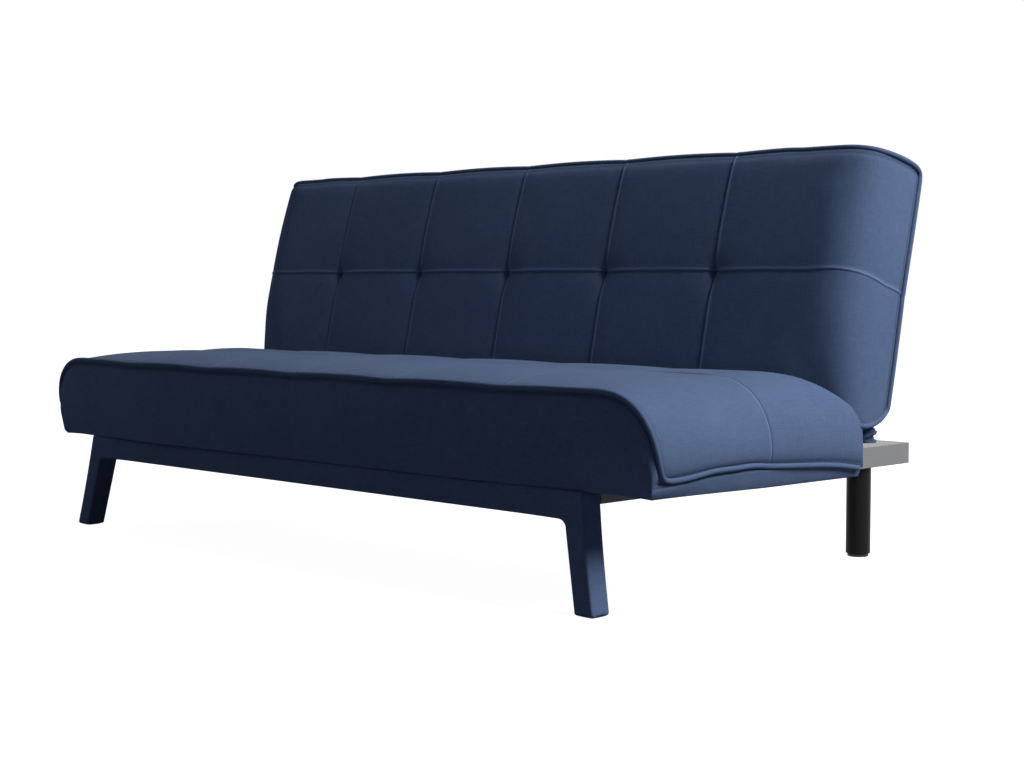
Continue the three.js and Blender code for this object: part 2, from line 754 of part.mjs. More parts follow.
for (let i = 0; i < STRAP_COUNT; i += 1) {
  const middle = frameFoot + BACK_RAIL_HEIGHT + (strapRoom * (i + 0.5)) / STRAP_COUNT;
  place(
    back,
    `back_strap_${i + 1}`,
    backBlock(
      -stileX,
      stileX,
      middle - STRAP_WIDTH / 2,
      middle + STRAP_WIDTH / 2,
      frameV0 - FIT_GAP - STRAP_THICK,
      frameV0 - FIT_GAP,
    ),
    webbing,
  );
}

// Ratchet hinge. The back arm carries the toothed sector, the bracket on the rail carries the pawl, and the
// tail of the seat arm presses the pawl out of its notch as the seat is lifted
const polar = (radius, angle) => [PIVOT_Y + radius * Math.cos(angle), pivotZ + radius * Math.sin(angle)];
const degrees = THREE.MathUtils.degToRad;
const pawlAngle = degrees(PAWL_DEG);
const rootRadius = SECTOR_RADIUS - TOOTH_DEPTH;
const boltHole = BOLT_RADIUS + BOLT_CLEARANCE;
const pawlY = PIVOT_Y + PAWL_PIVOT_REACH;
const pawlZ = pivotZ - PAWL_PIVOT_DROP;
const tripY = PIVOT_Y + TRIP_PIN_REACH;
const tripZ = pivotZ - TRIP_PIN_DROP;
const disc = (y, z, radius, x0, thick, sides = 28) => roundBar(x0, x0 + thick, y, z, radius, sides);

const sectorPoints = [];
const sectorStart = pawlAngle - toothPitch * 0.75;
const sectorEnd = pawlAngle + toothPitch * (RECLINE_STOPS + 0.75);
sectorPoints.push(polar(EYE_RADIUS, sectorStart), polar(SECTOR_RADIUS, sectorStart));
for (let i = 0; i <= RECLINE_STOPS; i += 1) {
  const middle = pawlAngle + i * toothPitch;
  sectorPoints.push(
    polar(SECTOR_RADIUS, middle - degrees(TOOTH_ROOT_DEG)),
    polar(rootRadius, middle - degrees(TOOTH_TIP_DEG)),
    polar(rootRadius, middle + degrees(TOOTH_TIP_DEG)),
    polar(SECTOR_RADIUS, middle + degrees(TOOTH_ROOT_DEG)),
  );
}
sectorPoints.push(polar(SECTOR_RADIUS, sectorEnd), polar(EYE_RADIUS, sectorEnd));
const hubSteps = 14;
for (let i = 1; i < hubSteps; i += 1) {
  const left = 2 * Math.PI - (sectorEnd - sectorStart);
  sectorPoints.push(polar(EYE_RADIUS, sectorEnd + (left * i) / hubSteps));
}

const armHalf = EYE_RADIUS - 2 * PLATE_GAP;
const backArmInner = backArmX - PLATE_THICK;
const backArm = cut(
  joined(
    plate(polygon(sectorPoints), backArmInner, PLATE_THICK),
    backBlock(backArmInner, backArmX, pivotU, pivotU + BACK_ARM_LENGTH, pivotV - armHalf, pivotV + armHalf),
  ),
  disc(PIVOT_Y, pivotZ, boltHole, backArmInner - OVERRUN, PLATE_THICK + 2 * OVERRUN, 20),
);

// Seat arm: bolted along the seat bar, cranked up to the pivot, with a tail behind it
const seatArmInner = seatArmX - PLATE_THICK;
const armRoot = END_FRAME_Y + 4 * pocketGap;
const armFoot = frameBottom + pocketGap;
const armHead = frameTop - pocketGap;
const tripTop = tripZ + TRIP_PIN_RADIUS + FIT_GAP;
const seatArmOutline = [
  [armRoot, armFoot],
  [FRAME_REAR_Y, armFoot],
  [PIVOT_Y, pivotZ - EYE_RADIUS * 0.94],
  [tripY - 2 * TRIP_PIN_RADIUS, tripTop],
  [tripY + TRIP_PIN_RADIUS, tripTop],
  [tripY + 2 * TRIP_PIN_RADIUS, tripTop + 2 * TRIP_PIN_RADIUS],
  [PIVOT_Y + EYE_RADIUS * 0.9, pivotZ + EYE_RADIUS * 0.3],
  [PIVOT_Y - EYE_RADIUS * 0.5, pivotZ + EYE_RADIUS * 0.82],
  [FRAME_REAR_Y, armHead],
  [armRoot, armHead],
];
const seatArm = cut(
  joined(
    plate(polygon(seatArmOutline), seatArmInner, PLATE_THICK),
    disc(PIVOT_Y, pivotZ, EYE_RADIUS, seatArmInner, PLATE_THICK),
  ),
  disc(PIVOT_Y, pivotZ, boltHole, seatArmInner - OVERRUN, PLATE_THICK + 2 * OVERRUN, 20),
);

// Bracket on the inner face of the side rail, with the eye for the pivot and a peg for the spring
const bracketInner = bracketX - BRACKET_THICK;
const bracketFoot = railBottom + pocketGap;
const bracketHead = railTop - pocketGap / 2;
const heelZ = pawlZ - PAWL_HEEL_DROP;
const anchorY = PIVOT_Y - SPRING_ANCHOR_REACH;
const pegInner = seatArmInner + PLATE_GAP;
const bracketOutline = [
  [anchorY - PAWL_EYE, bracketFoot],
  [pawlY + 2 * PAWL_EYE, bracketFoot],
  [pawlY + 2 * PAWL_EYE, bracketHead - PAWL_EYE],
  [pawlY + PAWL_EYE, bracketHead],
  [PIVOT_Y + EYE_RADIUS, bracketHead],
  [PIVOT_Y + EYE_RADIUS, pivotZ],
  [PIVOT_Y - EYE_RADIUS, pivotZ],
  [PIVOT_Y - EYE_RADIUS, bracketHead],
  [anchorY - PAWL_EYE, bracketHead - PAWL_EYE],
];
const hingeBracket = cut(
  joined(
    plate(polygon(bracketOutline), bracketInner, BRACKET_THICK),
    disc(PIVOT_Y, pivotZ, EYE_RADIUS, bracketInner, BRACKET_THICK),
    roundBar(pegInner, bracketX, anchorY, heelZ, STUD_PEG, 10),
  ),
  disc(PIVOT_Y, pivotZ, boltHole, bracketInner - OVERRUN, BRACKET_THICK + 2 * OVERRUN, 20),
  disc(
    pawlY,
    pawlZ,
    PAWL_PIN_RADIUS + BOLT_CLEARANCE,
    bracketInner - OVERRUN,
    BRACKET_THICK + 2 * OVERRUN,
    16,
  ),
);

// Pawl: a hooked tooth in the sector's notch, an eye on its pin, a trip pin and a heel for the spring
const offTip = (radius, along) => {
  const [y, z] = polar(radius, pawlAngle);
  return [y - along * Math.sin(pawlAngle), z + along * Math.cos(pawlAngle)];
};
const tipHalf = rootRadius * Math.tan(degrees(TOOTH_TIP_DEG)) - PAWL_TOOTH_GAP;
const mouthHalf = SECTOR_RADIUS * Math.tan(degrees(TOOTH_ROOT_DEG)) - PAWL_TOOTH_GAP;
const pawlTop = SECTOR_RADIUS + 2 * PAWL_TOOTH_GAP;
const pawlOutline = [
  offTip(rootRadius + PAWL_TOOTH_GAP, -tipHalf),
  offTip(rootRadius + PAWL_TOOTH_GAP, tipHalf),
  offTip(pawlTop, mouthHalf),
  [PIVOT_Y, pivotZ - pawlTop],
  [pawlY, pawlZ + PAWL_EYE * 0.97],
  [pawlY, pawlZ - PAWL_EYE * 0.97],
  offTip(pawlTop + PAWL_NECK, -mouthHalf),
  offTip(pawlTop, -mouthHalf),
];
const heelHalf = STUD_PEG + PLATE_GAP;
const pawlHeel = [
  [pawlY - heelHalf, heelZ - heelHalf],
  [pawlY + heelHalf, heelZ - heelHalf],
  [pawlY + heelHalf, pawlZ],
  [pawlY - heelHalf, pawlZ],
];
const pawl = cut(
  joined(
    plate(polygon(pawlOutline), backArmInner, PLATE_THICK),
    disc(pawlY, pawlZ, PAWL_EYE, backArmInner, PLATE_THICK, 20),
    plate(polygon(pawlHeel), backArmInner, PLATE_THICK),
    roundBar(seatArmInner, backArmX, tripY, tripZ, TRIP_PIN_RADIUS, 12),
    roundBar(pegInner, backArmX, pawlY, heelZ, STUD_PEG, 10),
  ),
  disc(
    pawlY,
    pawlZ,
    PAWL_PIN_RADIUS + BOLT_CLEARANCE,
    backArmInner - OVERRUN,
    PLATE_THICK + 2 * OVERRUN,
    16,
  ),
);

// A pin turned about a line along X, from its profile of radius and X
const turnedPin = (profile, y, z, sides) =>
  new THREE.LatheGeometry(profile.map(([r, x]) => new THREE.Vector2(r, x)), sides)
    .rotateZ(-Math.PI / 2)
    .translate(0, y, z);
const nutInner = seatArmInner - FIT_GAP - NUT_THICK;
const headX = bracketX + FIT_GAP;
const pivotBolt = turnedPin(
  [
    [0, nutInner - PLATE_GAP],
    [BOLT_RADIUS, nutInner - PLATE_GAP],
    [BOLT_RADIUS, headX],
    [BOLT_HEAD_RADIUS, headX],
    [BOLT_HEAD_RADIUS, headX + BOLT_HEAD],
    [0, headX + BOLT_HEAD],
  ],
  PIVOT_Y,
  pivotZ,
  20,
);
const pinHead = backArmInner - FIT_GAP;
const pawlPin = turnedPin(
  [
    [0, pinHead - BOLT_HEAD / 2],
    [PAWL_PIN_RADIUS + STUD_PEG, pinHead - BOLT_HEAD / 2],
    [PAWL_PIN_RADIUS + STUD_PEG, pinHead],
    [PAWL_PIN_RADIUS, pinHead],
    [PAWL_PIN_RADIUS, bracketX],
    [0, bracketX],
  ],
  pawlY,
  pawlZ,
  16,
);
const hexagon = new THREE.Shape();
for (let i = 0; i < 6; i += 1) {
  const corner = NUT_ACROSS / 2 / Math.cos(Math.PI / 6);
  const at = [PIVOT_Y + corner * Math.cos((i * Math.PI) / 3), pivotZ + corner * Math.sin((i * Math.PI) / 3)];
  if (i === 0) hexagon.moveTo(...at);
  else hexagon.lineTo(...at);
}
hexagon.holes.push(roundHole(PIVOT_Y, pivotZ, boltHole));

// Extension spring along Y: one unbroken wire, hooked half round a peg at each end and coiled between
const coilX = (pegInner + backArmInner) / 2;
const coilRadius = STUD_PEG + COIL_WIRE + FIT_GAP;
const coilStart = anchorY + HOOK_REACH;
const coilEnd = pawlY - HOOK_REACH;
const hookSteps = COIL_STEPS / 2;
const curlSteps = COIL_TURNS * COIL_STEPS;
const wireSteps = curlSteps + 2 * hookSteps + 2;

class HookedCoil extends THREE.Curve {
  // A point of the wire at a step from the first hook's foot
  at(step) {
    const past = step - hookSteps - 1;
    const onHook = (y, turn) => [0, y - coilRadius * Math.sin(turn), heelZ + coilRadius * Math.cos(turn)];
    if (past < -1) return onHook(anchorY, (-Math.PI * (past + 1)) / hookSteps);
    if (past > curlSteps + 1) return onHook(pawlY, (-Math.PI * (past - curlSteps - 1)) / hookSteps);
    if (past < 0) return [0, THREE.MathUtils.lerp(coilStart, anchorY, -past), heelZ + coilRadius];
    if (past > curlSteps) {
      return [0, THREE.MathUtils.lerp(coilEnd, pawlY, past - curlSteps), heelZ + coilRadius];
    }
    const turn = (2 * Math.PI * past) / COIL_STEPS;
    const y = THREE.MathUtils.lerp(coilStart, coilEnd, past / curlSteps);
    return [coilRadius * Math.sin(turn), y, heelZ + coilRadius * Math.cos(turn)];
  }

  getPoint(t, target = new THREE.Vector3()) {
    const [x, y, z] = this.at(t * wireSteps);
    return target.set(coilX + x, y, z);
  }

  // Steps of the wire are steps of its parts, not equal lengths
  getUtoTmapping(u) {
    return u;
  }
}

const coilPath = new HookedCoil();
const coil = tube(coilPath, COIL_WIRE, wireSteps, COIL_SIDES);

// The least gap between two stretches of the wire that aren't neighbours
const wirePoints = coilPath.getPoints(wireSteps);
const apart = COIL_STEPS / 2 + 1;
let leastGap = Infinity;
wirePoints.forEach((a, i) => {
  for (const b of wirePoints.slice(i + apart)) leastGap = Math.min(leastGap, a.distanceTo(b) - 2 * COIL_WIRE);
});
console.log(`pawl spring: least gap to itself ${leastGap.toFixed(2)} mm`);

for (const [hand, side] of SIDES) {
  place(base, `hinge_bracket_${hand}`, handed(hingeBracket, side), zincSteel);
  place(base, `pivot_bolt_${hand}`, handed(pivotBolt, side), zincSteel);
  place(base, `pivot_nut_${hand}`, handed(plate(hexagon, nutInner, NUT_THICK), side), zincSteel);
  place(base, `pawl_pin_${hand}`, handed(pawlPin, side), zincSteel);
  place(base, `pawl_spring_${hand}`, handed(coil, side), zincSteel);
  place(base, `pawl_${hand}`, handed(pawl, side), zincSteel);
  place(seat, `seat_arm_${hand}`, handed(seatArm, side), zincSteel);
  place(back, `back_arm_${hand}`, handed(backArm, side), zincSteel);
}

// Crease gusset: a strip of cloth that hangs behind the seat and runs back under the foot of the back
const gussetEndX = HALF_WIDTH - GUSSET_END_INSET;
const gussetTop = seatTop - 2 * SEAT_CROWN;
const gussetY = SEAT_WALL_Y + FIT_GAP;
const gussetFoot = lipTop + FIT_GAP;
const gussetRear = SEAT_LIP_Y - EYE_RADIUS;
const gussetBend = SEAT_CROWN;
const gusset = polygon([
  [gussetY, gussetTop],
  [gussetY, gussetFoot + gussetBend],
  [gussetY + gussetBend, gussetFoot],
  [gussetRear, gussetFoot],
  [gussetRear, gussetFoot + GUSSET_SHEET],
  [gussetY + gussetBend + GUSSET_SHEET, gussetFoot + GUSSET_SHEET],
  [gussetY + GUSSET_SHEET, gussetFoot + GUSSET_SHEET + gussetBend],
  [gussetY + GUSSET_SHEET, gussetTop],
]);
place(base, "crease_gusset", plate(gusset, -gussetEndX, 2 * gussetEndX), navyFabric);

export default root;
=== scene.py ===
import json
from math import radians

import bpy
import numpy as np
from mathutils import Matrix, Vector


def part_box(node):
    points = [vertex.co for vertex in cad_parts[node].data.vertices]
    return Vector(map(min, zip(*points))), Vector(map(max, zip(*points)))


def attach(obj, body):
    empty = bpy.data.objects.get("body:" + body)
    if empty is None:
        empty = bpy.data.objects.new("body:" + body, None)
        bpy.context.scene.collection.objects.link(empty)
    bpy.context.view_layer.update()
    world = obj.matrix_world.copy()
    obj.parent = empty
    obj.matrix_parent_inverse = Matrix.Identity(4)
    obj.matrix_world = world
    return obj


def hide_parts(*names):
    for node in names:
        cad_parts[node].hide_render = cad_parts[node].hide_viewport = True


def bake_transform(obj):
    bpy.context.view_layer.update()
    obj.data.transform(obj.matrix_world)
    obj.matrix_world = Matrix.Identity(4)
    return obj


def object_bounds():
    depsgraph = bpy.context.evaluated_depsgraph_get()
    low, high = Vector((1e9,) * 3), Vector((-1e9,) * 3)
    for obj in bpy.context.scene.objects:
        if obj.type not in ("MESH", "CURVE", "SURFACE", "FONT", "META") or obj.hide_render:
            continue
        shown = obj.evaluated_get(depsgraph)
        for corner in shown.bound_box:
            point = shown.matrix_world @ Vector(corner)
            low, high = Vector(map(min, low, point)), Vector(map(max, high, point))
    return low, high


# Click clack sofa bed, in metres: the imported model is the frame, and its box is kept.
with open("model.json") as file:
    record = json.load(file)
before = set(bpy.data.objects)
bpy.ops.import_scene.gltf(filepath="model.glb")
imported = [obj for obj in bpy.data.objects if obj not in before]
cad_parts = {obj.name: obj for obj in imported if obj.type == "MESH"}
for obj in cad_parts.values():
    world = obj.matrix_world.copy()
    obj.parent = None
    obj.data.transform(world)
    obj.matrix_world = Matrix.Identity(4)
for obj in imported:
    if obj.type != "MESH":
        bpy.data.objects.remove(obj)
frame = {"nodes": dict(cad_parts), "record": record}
cad_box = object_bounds()
scene = bpy.context.scene
nodes = frame["nodes"]

# ------------------------ camera
# The photograph was taken from the front right, a little above the seat, with the camera nearly level.
CAMERA_AT = (2.6751, -2.5532, 0.5492)
CAMERA_YAW, CAMERA_PITCH = radians(45.146), radians(-3.419)
camera = bpy.data.objects.new("camera", bpy.data.cameras.new("camera"))
camera.data.lens, camera.data.sensor_width = 60.88, 36.0
camera.data.clip_end = 60.0
camera.location = CAMERA_AT
camera.rotation_euler = (radians(90) + CAMERA_PITCH, 0.0, CAMERA_YAW)
scene.collection.objects.link(camera)
scene.camera = camera
scene.view_settings.view_transform = "Standard"


# ------------------------ finishes
# A finish is one material, and the light of the room is drawn with the same nodes. Sums of sockets add the
# Math nodes, and node() adds any other.
class Wire:
    """An output socket that takes part in sums with others and with plain numbers."""

    def __init__(self, drawing, socket):
        self.drawing, self.socket = drawing, socket

    def also(self, key):
        """Another output of the same node."""
        return Wire(self.drawing, self.socket.node.outputs[key])

    def math(self, operation, first, second=0.0):
        return self.drawing.node("Math", {"operation": operation}, {0: first, 1: second})

    def __add__(self, other):
        return self.math("ADD", self, other)

    def __rsub__(self, other):
        return self.math("SUBTRACT", other, self)

    def __mul__(self, other):
        return self.math("MULTIPLY", self, other)

    def __pow__(self, other):
        return self.math("POWER", self, other)

    def sine(self):
        return self.math("SINE", self)

    def size(self):
        return self.math("ABSOLUTE", self)

    def over(self, level):
        return self.math("GREATER_THAN", self, level)


class Drawing:
    """The nodes of one material, or of the room's light."""

    def __init__(self, tree):
        self.tree = tree

    def feed(self, socket, value):
        if isinstance(value, Wire):
            self.tree.links.new(value.socket, socket)
        else:
            socket.default_value = value

    def node(self, kind, settings=None, inputs=None, output=0):
        made = self.tree.nodes.new("ShaderNode" + kind)
        for key, value in (settings or {}).items():
            setattr(made, key, value)
        for key, value in (inputs or {}).items():
            self.feed(made.inputs[key], value)
        return Wire(self, made.outputs[output])

    def seen(self):
        """1 for a ray from the camera, a mirror or glass, which sees the plain background, or else 0."""
        ray = self.node("LightPath", output="Is Camera Ray")
        return ray + ray.also("Is Glossy Ray") + ray.also("Is Transmission Ray")

    def place(self, kind="Object"):
        """Where a point of the surface is: on the object, or on its UV map."""
        return self.node("TexCoord", output=kind)

    def parts(self, place):
        """The three numbers of a place."""
        first = self.node("SeparateXYZ", None, {0: place})
        return first, first.also(1), first.also(2)

    def cloud(self, place, scale, detail=3.0, roughness=0.55):
        """Soft noise from 0 to 1."""
        inputs = {"Vector": place, "Scale": scale, "Detail": detail, "Roughness": roughness}
        return self.node("TexNoise", None, inputs)

    def graded(self, value, low, high, first, last):
        """first where the value is low, last where it is high, and in proportion between."""
        return self.node("MapRange", None, {0: value, 1: low, 2: high, 3: first, 4: last})

    def mix(self, share, first, second):
        """A colour that goes from first to second, each a plain colour or one that was mixed."""
        first, second = (c if isinstance(c, Wire) else (*c, 1.0) for c in (first, second))
        return self.node("Mix", {"data_type": "RGBA"}, {0: share, 6: first, 7: second}, output=2)


class Finish(Drawing):
    """A material with its shader. Settings that are the same all over are set on the shader itself."""

    def __init__(self, name, slot, **plain):
        self.material = bpy.data.materials.new(name)
        self.material.use_nodes = True
        super().__init__(self.material.node_tree)
        self.slot, self.shader = slot, self.tree.nodes["Principled BSDF"]
        self.vary(**plain)

    def vary(self, **values):
        for key, value in values.items():
            self.feed(self.shader.inputs[key.replace("_", " ")], value)

    def bump(self, height, distance, strength=1.0):
        inputs = {"Strength": strength, "Distance": distance, "Height": height}
        self.vary(Normal=self.node("Bump", None, inputs))

    def on(self, *objects):
        for o in objects:
            o.data.materials.clear()
            o.data.materials.append(self.material)


# ------------------------ studio
# A pale floor that runs to a white background, a broad soft lamp high at the right, a lamp behind and a weak
# one at the left.
FLOOR_HALF = 14.0
FLOOR_PAINT, FLOOR_UNSEEN = (0.30, 0.30, 0.31, 1.0), (0.13, 0.14, 0.18, 1.0)
FLOOR_GLOW, GLOW_NEAR, GLOW_FAR = 0.955, 1.6, 4.5
floor_mesh = bpy.data.meshes.new("floor")
corners = [(FLOOR_HALF * x, FLOOR_HALF * y, 0) for x, y in ((-1, -1), (1, -1), (1, 1), (-1, 1))]
floor_mesh.from_pydata(corners, [], [(0, 1, 2, 3)])
floor = bpy.data.objects.new("floor", floor_mesh)
scene.collection.objects.link(floor)
pale = Finish("pale_floor", None, Base_Color=FLOOR_PAINT, Roughness=0.9, Specular_IOR_Level=0.1)
east, north, _ = pale.parts(pale.place())
far = (east * east + north * north) ** 0.5
glow = pale.node("Emission", None, {"Color": pale.graded(far, GLOW_NEAR, GLOW_FAR, FLOOR_GLOW, 1.0)})
lit = pale.node("AddShader", None, {0: Wire(pale, pale.shader.outputs[0]), 1: glow})
dim = pale.node("BsdfDiffuse", None, {"Color": FLOOR_UNSEEN})
floor_end = pale.tree.nodes["Material Output"].inputs["Surface"]
pale.feed(floor_end, pale.node("MixShader", None, {0: pale.seen(), 1: dim, 2: lit}))
pale.on(floor)

ROOM_LIGHT = 0.088
ROOM_TINT = (0.86, 0.93, 1.18, 1.0)
world = bpy.data.worlds.new("studio")
scene.world = world
world.use_nodes = True
air = Drawing(world.node_tree)
air.tree.nodes.remove(air.tree.nodes["Background"])
room = air.node("Background", None, {"Color": ROOM_TINT, "Strength": ROOM_LIGHT})
white = air.node("Background", None, {"Color": (1.0, 1.0, 1.0, 1.0)})
room_end = air.tree.nodes["World Output"].inputs["Surface"]
air.feed(room_end, air.node("MixShader", None, {0: air.seen(), 1: room, 2: white}))


def lamp(name, at, target, size, power):
    """A round soft lamp at a place, turned to shine at the target."""
    data = bpy.data.lights.new(name, "AREA")
    data.shape, data.size, data.energy = "DISK", size, power
    made = bpy.data.objects.new(name, data)
    made.location = at
    aim = np.subtract(target, at)
    made.rotation_euler = (np.arctan2(np.hypot(aim[0], aim[1]), -aim[2]), 0.0, np.arctan2(-aim[0], aim[1]))
    scene.collection.objects.link(made)


lamp("lamp_right", (3.7, 0.72, 3.3), (0.3, 0.0, 0.35), 1.8, 246.0)
lamp("lamp_behind", (-2.6, 4.2, 2.6), (0.0, 0.2, 0.4), 2.4, 80.0)
lamp("lamp_left", (-3.2, -2.4, 1.3), (-0.7, 0.0, 0.3), 2.4, 8.0)

# ------------------------ cover cloth
# Navy upholstery cloth, a plain weave of thick matt yarns with a little lighter and darker yarn in it.
# The weave follows each panel's own UV map, in metres.
NAVY = (0.088, 0.132, 0.236)
NAVY_PALE = (0.116, 0.168, 0.284)
NAVY_DEEP = (0.060, 0.093, 0.176)
# Painted highlight colour, laid along the seam ridges
SEAM_HIGHLIGHT = tuple(1.8 * v for v in NAVY_PALE)
# Painted shade colour for seam grooves, creases and the line past the welt
SHADED = tuple(0.35 * v for v in NAVY_DEEP)
YARN, WEAVE_DEPTH = 0.0011, 0.00025
MATT = {"Roughness": 0.92, "Sheen_Weight": 0.05, "Sheen_Roughness": 0.4, "Specular_IOR_Level": 0.03}

navy = Finish("navy_weave", "navy_fabric", **MATT)
place = navy.place("UV")
across, along, _ = navy.parts(place)
warp, weft = ((way * (np.pi / YARN)).sine() for way in (across, along))
over = (warp * weft).over(0.0)
weave = over * warp.size() + (1.0 - over) * weft.size()
# Yarns differ in shade along their length: noise stretched along each of the two directions
stretched = (navy.node("Mapping", None, {0: place, 3: way}) for way in ((0.06, 1.0, 1.0), (1.0, 0.06, 1.0)))
long_warp, long_weft = (navy.cloud(where, 0.6 / YARN, 2.0) for where in stretched)
yarns = over * long_warp + (1.0 - over) * long_weft
shade = yarns * 0.75 + navy.cloud(navy.place(), 5.0) * 0.25
tone = navy.mix(navy.graded(shade, 0.5, 0.72, 0.0, 0.8), NAVY, NAVY_PALE)
tone = navy.mix(navy.graded(shade, 0.5, 0.3, 0.0, 0.8), tone, NAVY_DEEP)
# Along a seam the folded edge gets a painted highlight, and the groove beside it, the welt's dipped line and
# the creases get painted shade
fold, painted_shade = (navy.node("Attribute", {"attribute_name": key}, output="Fac") for key in ("fold", "painted_shade"))
tone = navy.mix(fold * 0.8, tone, SEAM_HIGHLIGHT)
navy.vary(Base_Color=navy.mix(painted_shade * 0.35, tone, SHADED))
navy.bump(weave + yarns * 0.5, WEAVE_DEPTH, 0.7)


# ------------------------ seat cushion
# The seat is foam on a sprung timber frame in a sewn cover. One panel wraps over the top and both ends, a
# front panel hangs from the welt, and channels are sewn every 285 mm and along the middle.
def quads_of(ids):
    """The quads of a grid of point numbers."""
    return np.stack([ids[:-1, :-1], ids[1:, :-1], ids[1:, 1:], ids[:-1, 1:]], axis=-1).reshape(-1, 4)


def block_skin(a, b, c):
    """The skin of a block: its points as the values of a, b and c there, and its quads, which face out."""
    i, j, k = np.meshgrid(*(np.arange(len(v)) for v in (a, b, c)), indexing="ij")
    outer = (i == 0) | (i == len(a) - 1) | (j == 0) | (j == len(b) - 1) | (k == 0) | (k == len(c) - 1)
    number = np.full(i.shape, -1)
    number[outer] = np.arange(outer.sum())
    # Every other side is wound the other way round
    sheets = number[:, :, -1], number[:, :, 0], number[:, 0], number[:, -1], number[-1], number[0]
    sides = [quads_of(sheet)[:, :: (-1) ** k] for k, sheet in enumerate(sheets)]
    kind = np.repeat(np.arange(6), [len(s) for s in sides])
    return a[i[outer]], b[j[outer]], c[k[outer]], np.concatenate(sides), kind


def finer_near(low, high, step, lines, reach):
    """Values from low to high about a step apart, with each line met exactly and four more close by."""
    even = np.linspace(low, high, int(round((high - low) / step)) + 1)
    near = np.concatenate([v + reach * np.array([-2.6, -1, 0, 1, 2.6]) for v in lines])
    far = [v for v in even[1:-1] if np.abs(near - v).min() > 0.5 * step]
    return np.unique(np.concatenate([[low, high], near, far]))


def keep_share(mesh, key, values):
    """Keeps one value for each point of the mesh, under the name key."""
    kept = mesh.attributes.get(key) or mesh.attributes.new(key, "FLOAT", "POINT")
    kept.data.foreach_set("value", np.asarray(values, np.float32))


def new_mesh(name, points, quads, uv=None, **shares):
    """A mesh object at the origin, with its UV map in metres and one value a point for each share."""
    mesh = bpy.data.meshes.new(name)
    mesh.from_pydata(np.asarray(points, float).tolist(), [], [q.tolist() for q in quads])
    if uv is not None:
        layer = mesh.uv_layers.new(name="UVMap")
        layer.data.foreach_set("uv", np.asarray(uv, np.float32).ravel())
    for key, value in shares.items():
        keep_share(mesh, key, value)
    mesh.update()
    made = bpy.data.objects.new(name, mesh)
    scene.collection.objects.link(made)
    return made


def rows_of(items, key, width):
    """The values of the key, one row for each item."""
    found = np.zeros(width * len(items), np.float32)
    items.foreach_get(key, found)
    return found.reshape(-1, width).astype(float)


def points_of(mesh):
    return rows_of(mesh.vertices, "co", 3)


def normals_of(mesh):
    return rows_of(mesh.vertex_normals, "vector", 3)


def shares_of(mesh, keys="abc"):
    return [rows_of(mesh.attributes[key].data, "value", 1)[:, 0] for key in keys]


def put_points(mesh, points):
    mesh.vertices.foreach_set("co", points.astype(np.float32).ravel())
    mesh.update()


def push_out(mesh, move):
    """Moves each point of the mesh along its normal by a length of its own."""
    put_points(mesh, points_of(mesh) + normals_of(mesh) * move[:, None])


def settled(obj):
    """Leaves the object's mesh as its modifiers make it, and no modifiers on it."""
    fixed = bpy.data.meshes.new_from_object(obj.evaluated_get(bpy.context.evaluated_depsgraph_get()))
    obj.modifiers.clear()
    old, obj.data = obj.data, fixed
    bpy.data.meshes.remove(old)
    fixed.name = obj.name


SWELL_FRAMES, CLOTH_STIFFNESS, AIR_PRESSURE = 20, 12.0, 3.0


def puffed(obj, pins, cap):
    """Cloth simulation: air in the closed skin swells it between its pinned seams, by at most about cap."""
    rest = points_of(obj.data)
    group = obj.vertex_groups.new(name="seams")
    for i in np.flatnonzero(pins > 0.01):
        group.add([int(i)], float(pins[i]), "REPLACE")
    cloth = obj.modifiers.new("cloth", "CLOTH")
    cloth.settings.use_pressure = True
    cloth.settings.uniform_pressure_force = AIR_PRESSURE
    cloth.settings.vertex_group_mass = group.name
    cloth.settings.effector_weights.gravity = 0.0
    cloth.settings.quality = 4
    cloth.settings.tension_stiffness = cloth.settings.compression_stiffness = CLOTH_STIFFNESS
    cloth.point_cache.frame_start, cloth.point_cache.frame_end = 1, SWELL_FRAMES
    for step in range(1, SWELL_FRAMES + 1):
        scene.frame_set(step)
    swollen = points_of(obj.evaluated_get(bpy.context.evaluated_depsgraph_get()).to_mesh())
    obj.modifiers.clear()
    obj.vertex_groups.clear()
    scene.frame_set(1)
    move = swollen - rest
    length = np.linalg.norm(move, axis=1, keepdims=True)
    move *= cap * np.tanh(length / cap) / np.maximum(length, 1e-9)
    put_points(obj.data, rest + move)
    print(obj.name, "swelled by up to", round(float(length.max()), 4), "m, kept up to", cap)


def smooth(obj):
    obj.data.shade_smooth()
    return obj


PITCH = 0.285
HALF_WIDTH = cad_box[1][0] - 0.004
SEAT_TOP = 0.375
SEAT_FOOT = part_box("seat_pad")[0][2]
SEAT_FRONT = -0.500
SEAT_ROLL, SEAT_DROP = 0.119, 0.128
REAR_SQUARE, LEFT_SQUARE, FRONT_SQUARE = 0.38, 0.36, 0.22
FOOT_REACH = 0.102
SEAT_SEAM_Y = -0.165
SEAT_WALL, SEAT_NOSE = 0.003, 0.028
SEAT_END_REAR = 0.120
LIP_REAR, LIP_TOP = 0.131, 0.2700
BAND_BULGE, LEFT_TAPER = 0.006, 0.014
CORNER_INSET, CORNER_TURN = 0.022, 0.022
FOOT_BOW, LEFT_BOW_LESS, TOP_BOW = 0.018, 0.010, 0.007
SEAT_CROWN, SEAT_DOME = 0.004, 0.0150
SEAM_DIP, FRONT_SINK, UPHILL, REAR_TURN = 0.0018, 0.0035, 0.009, 0.006
SEAM_HALF = 0.003
STEP = 0.016

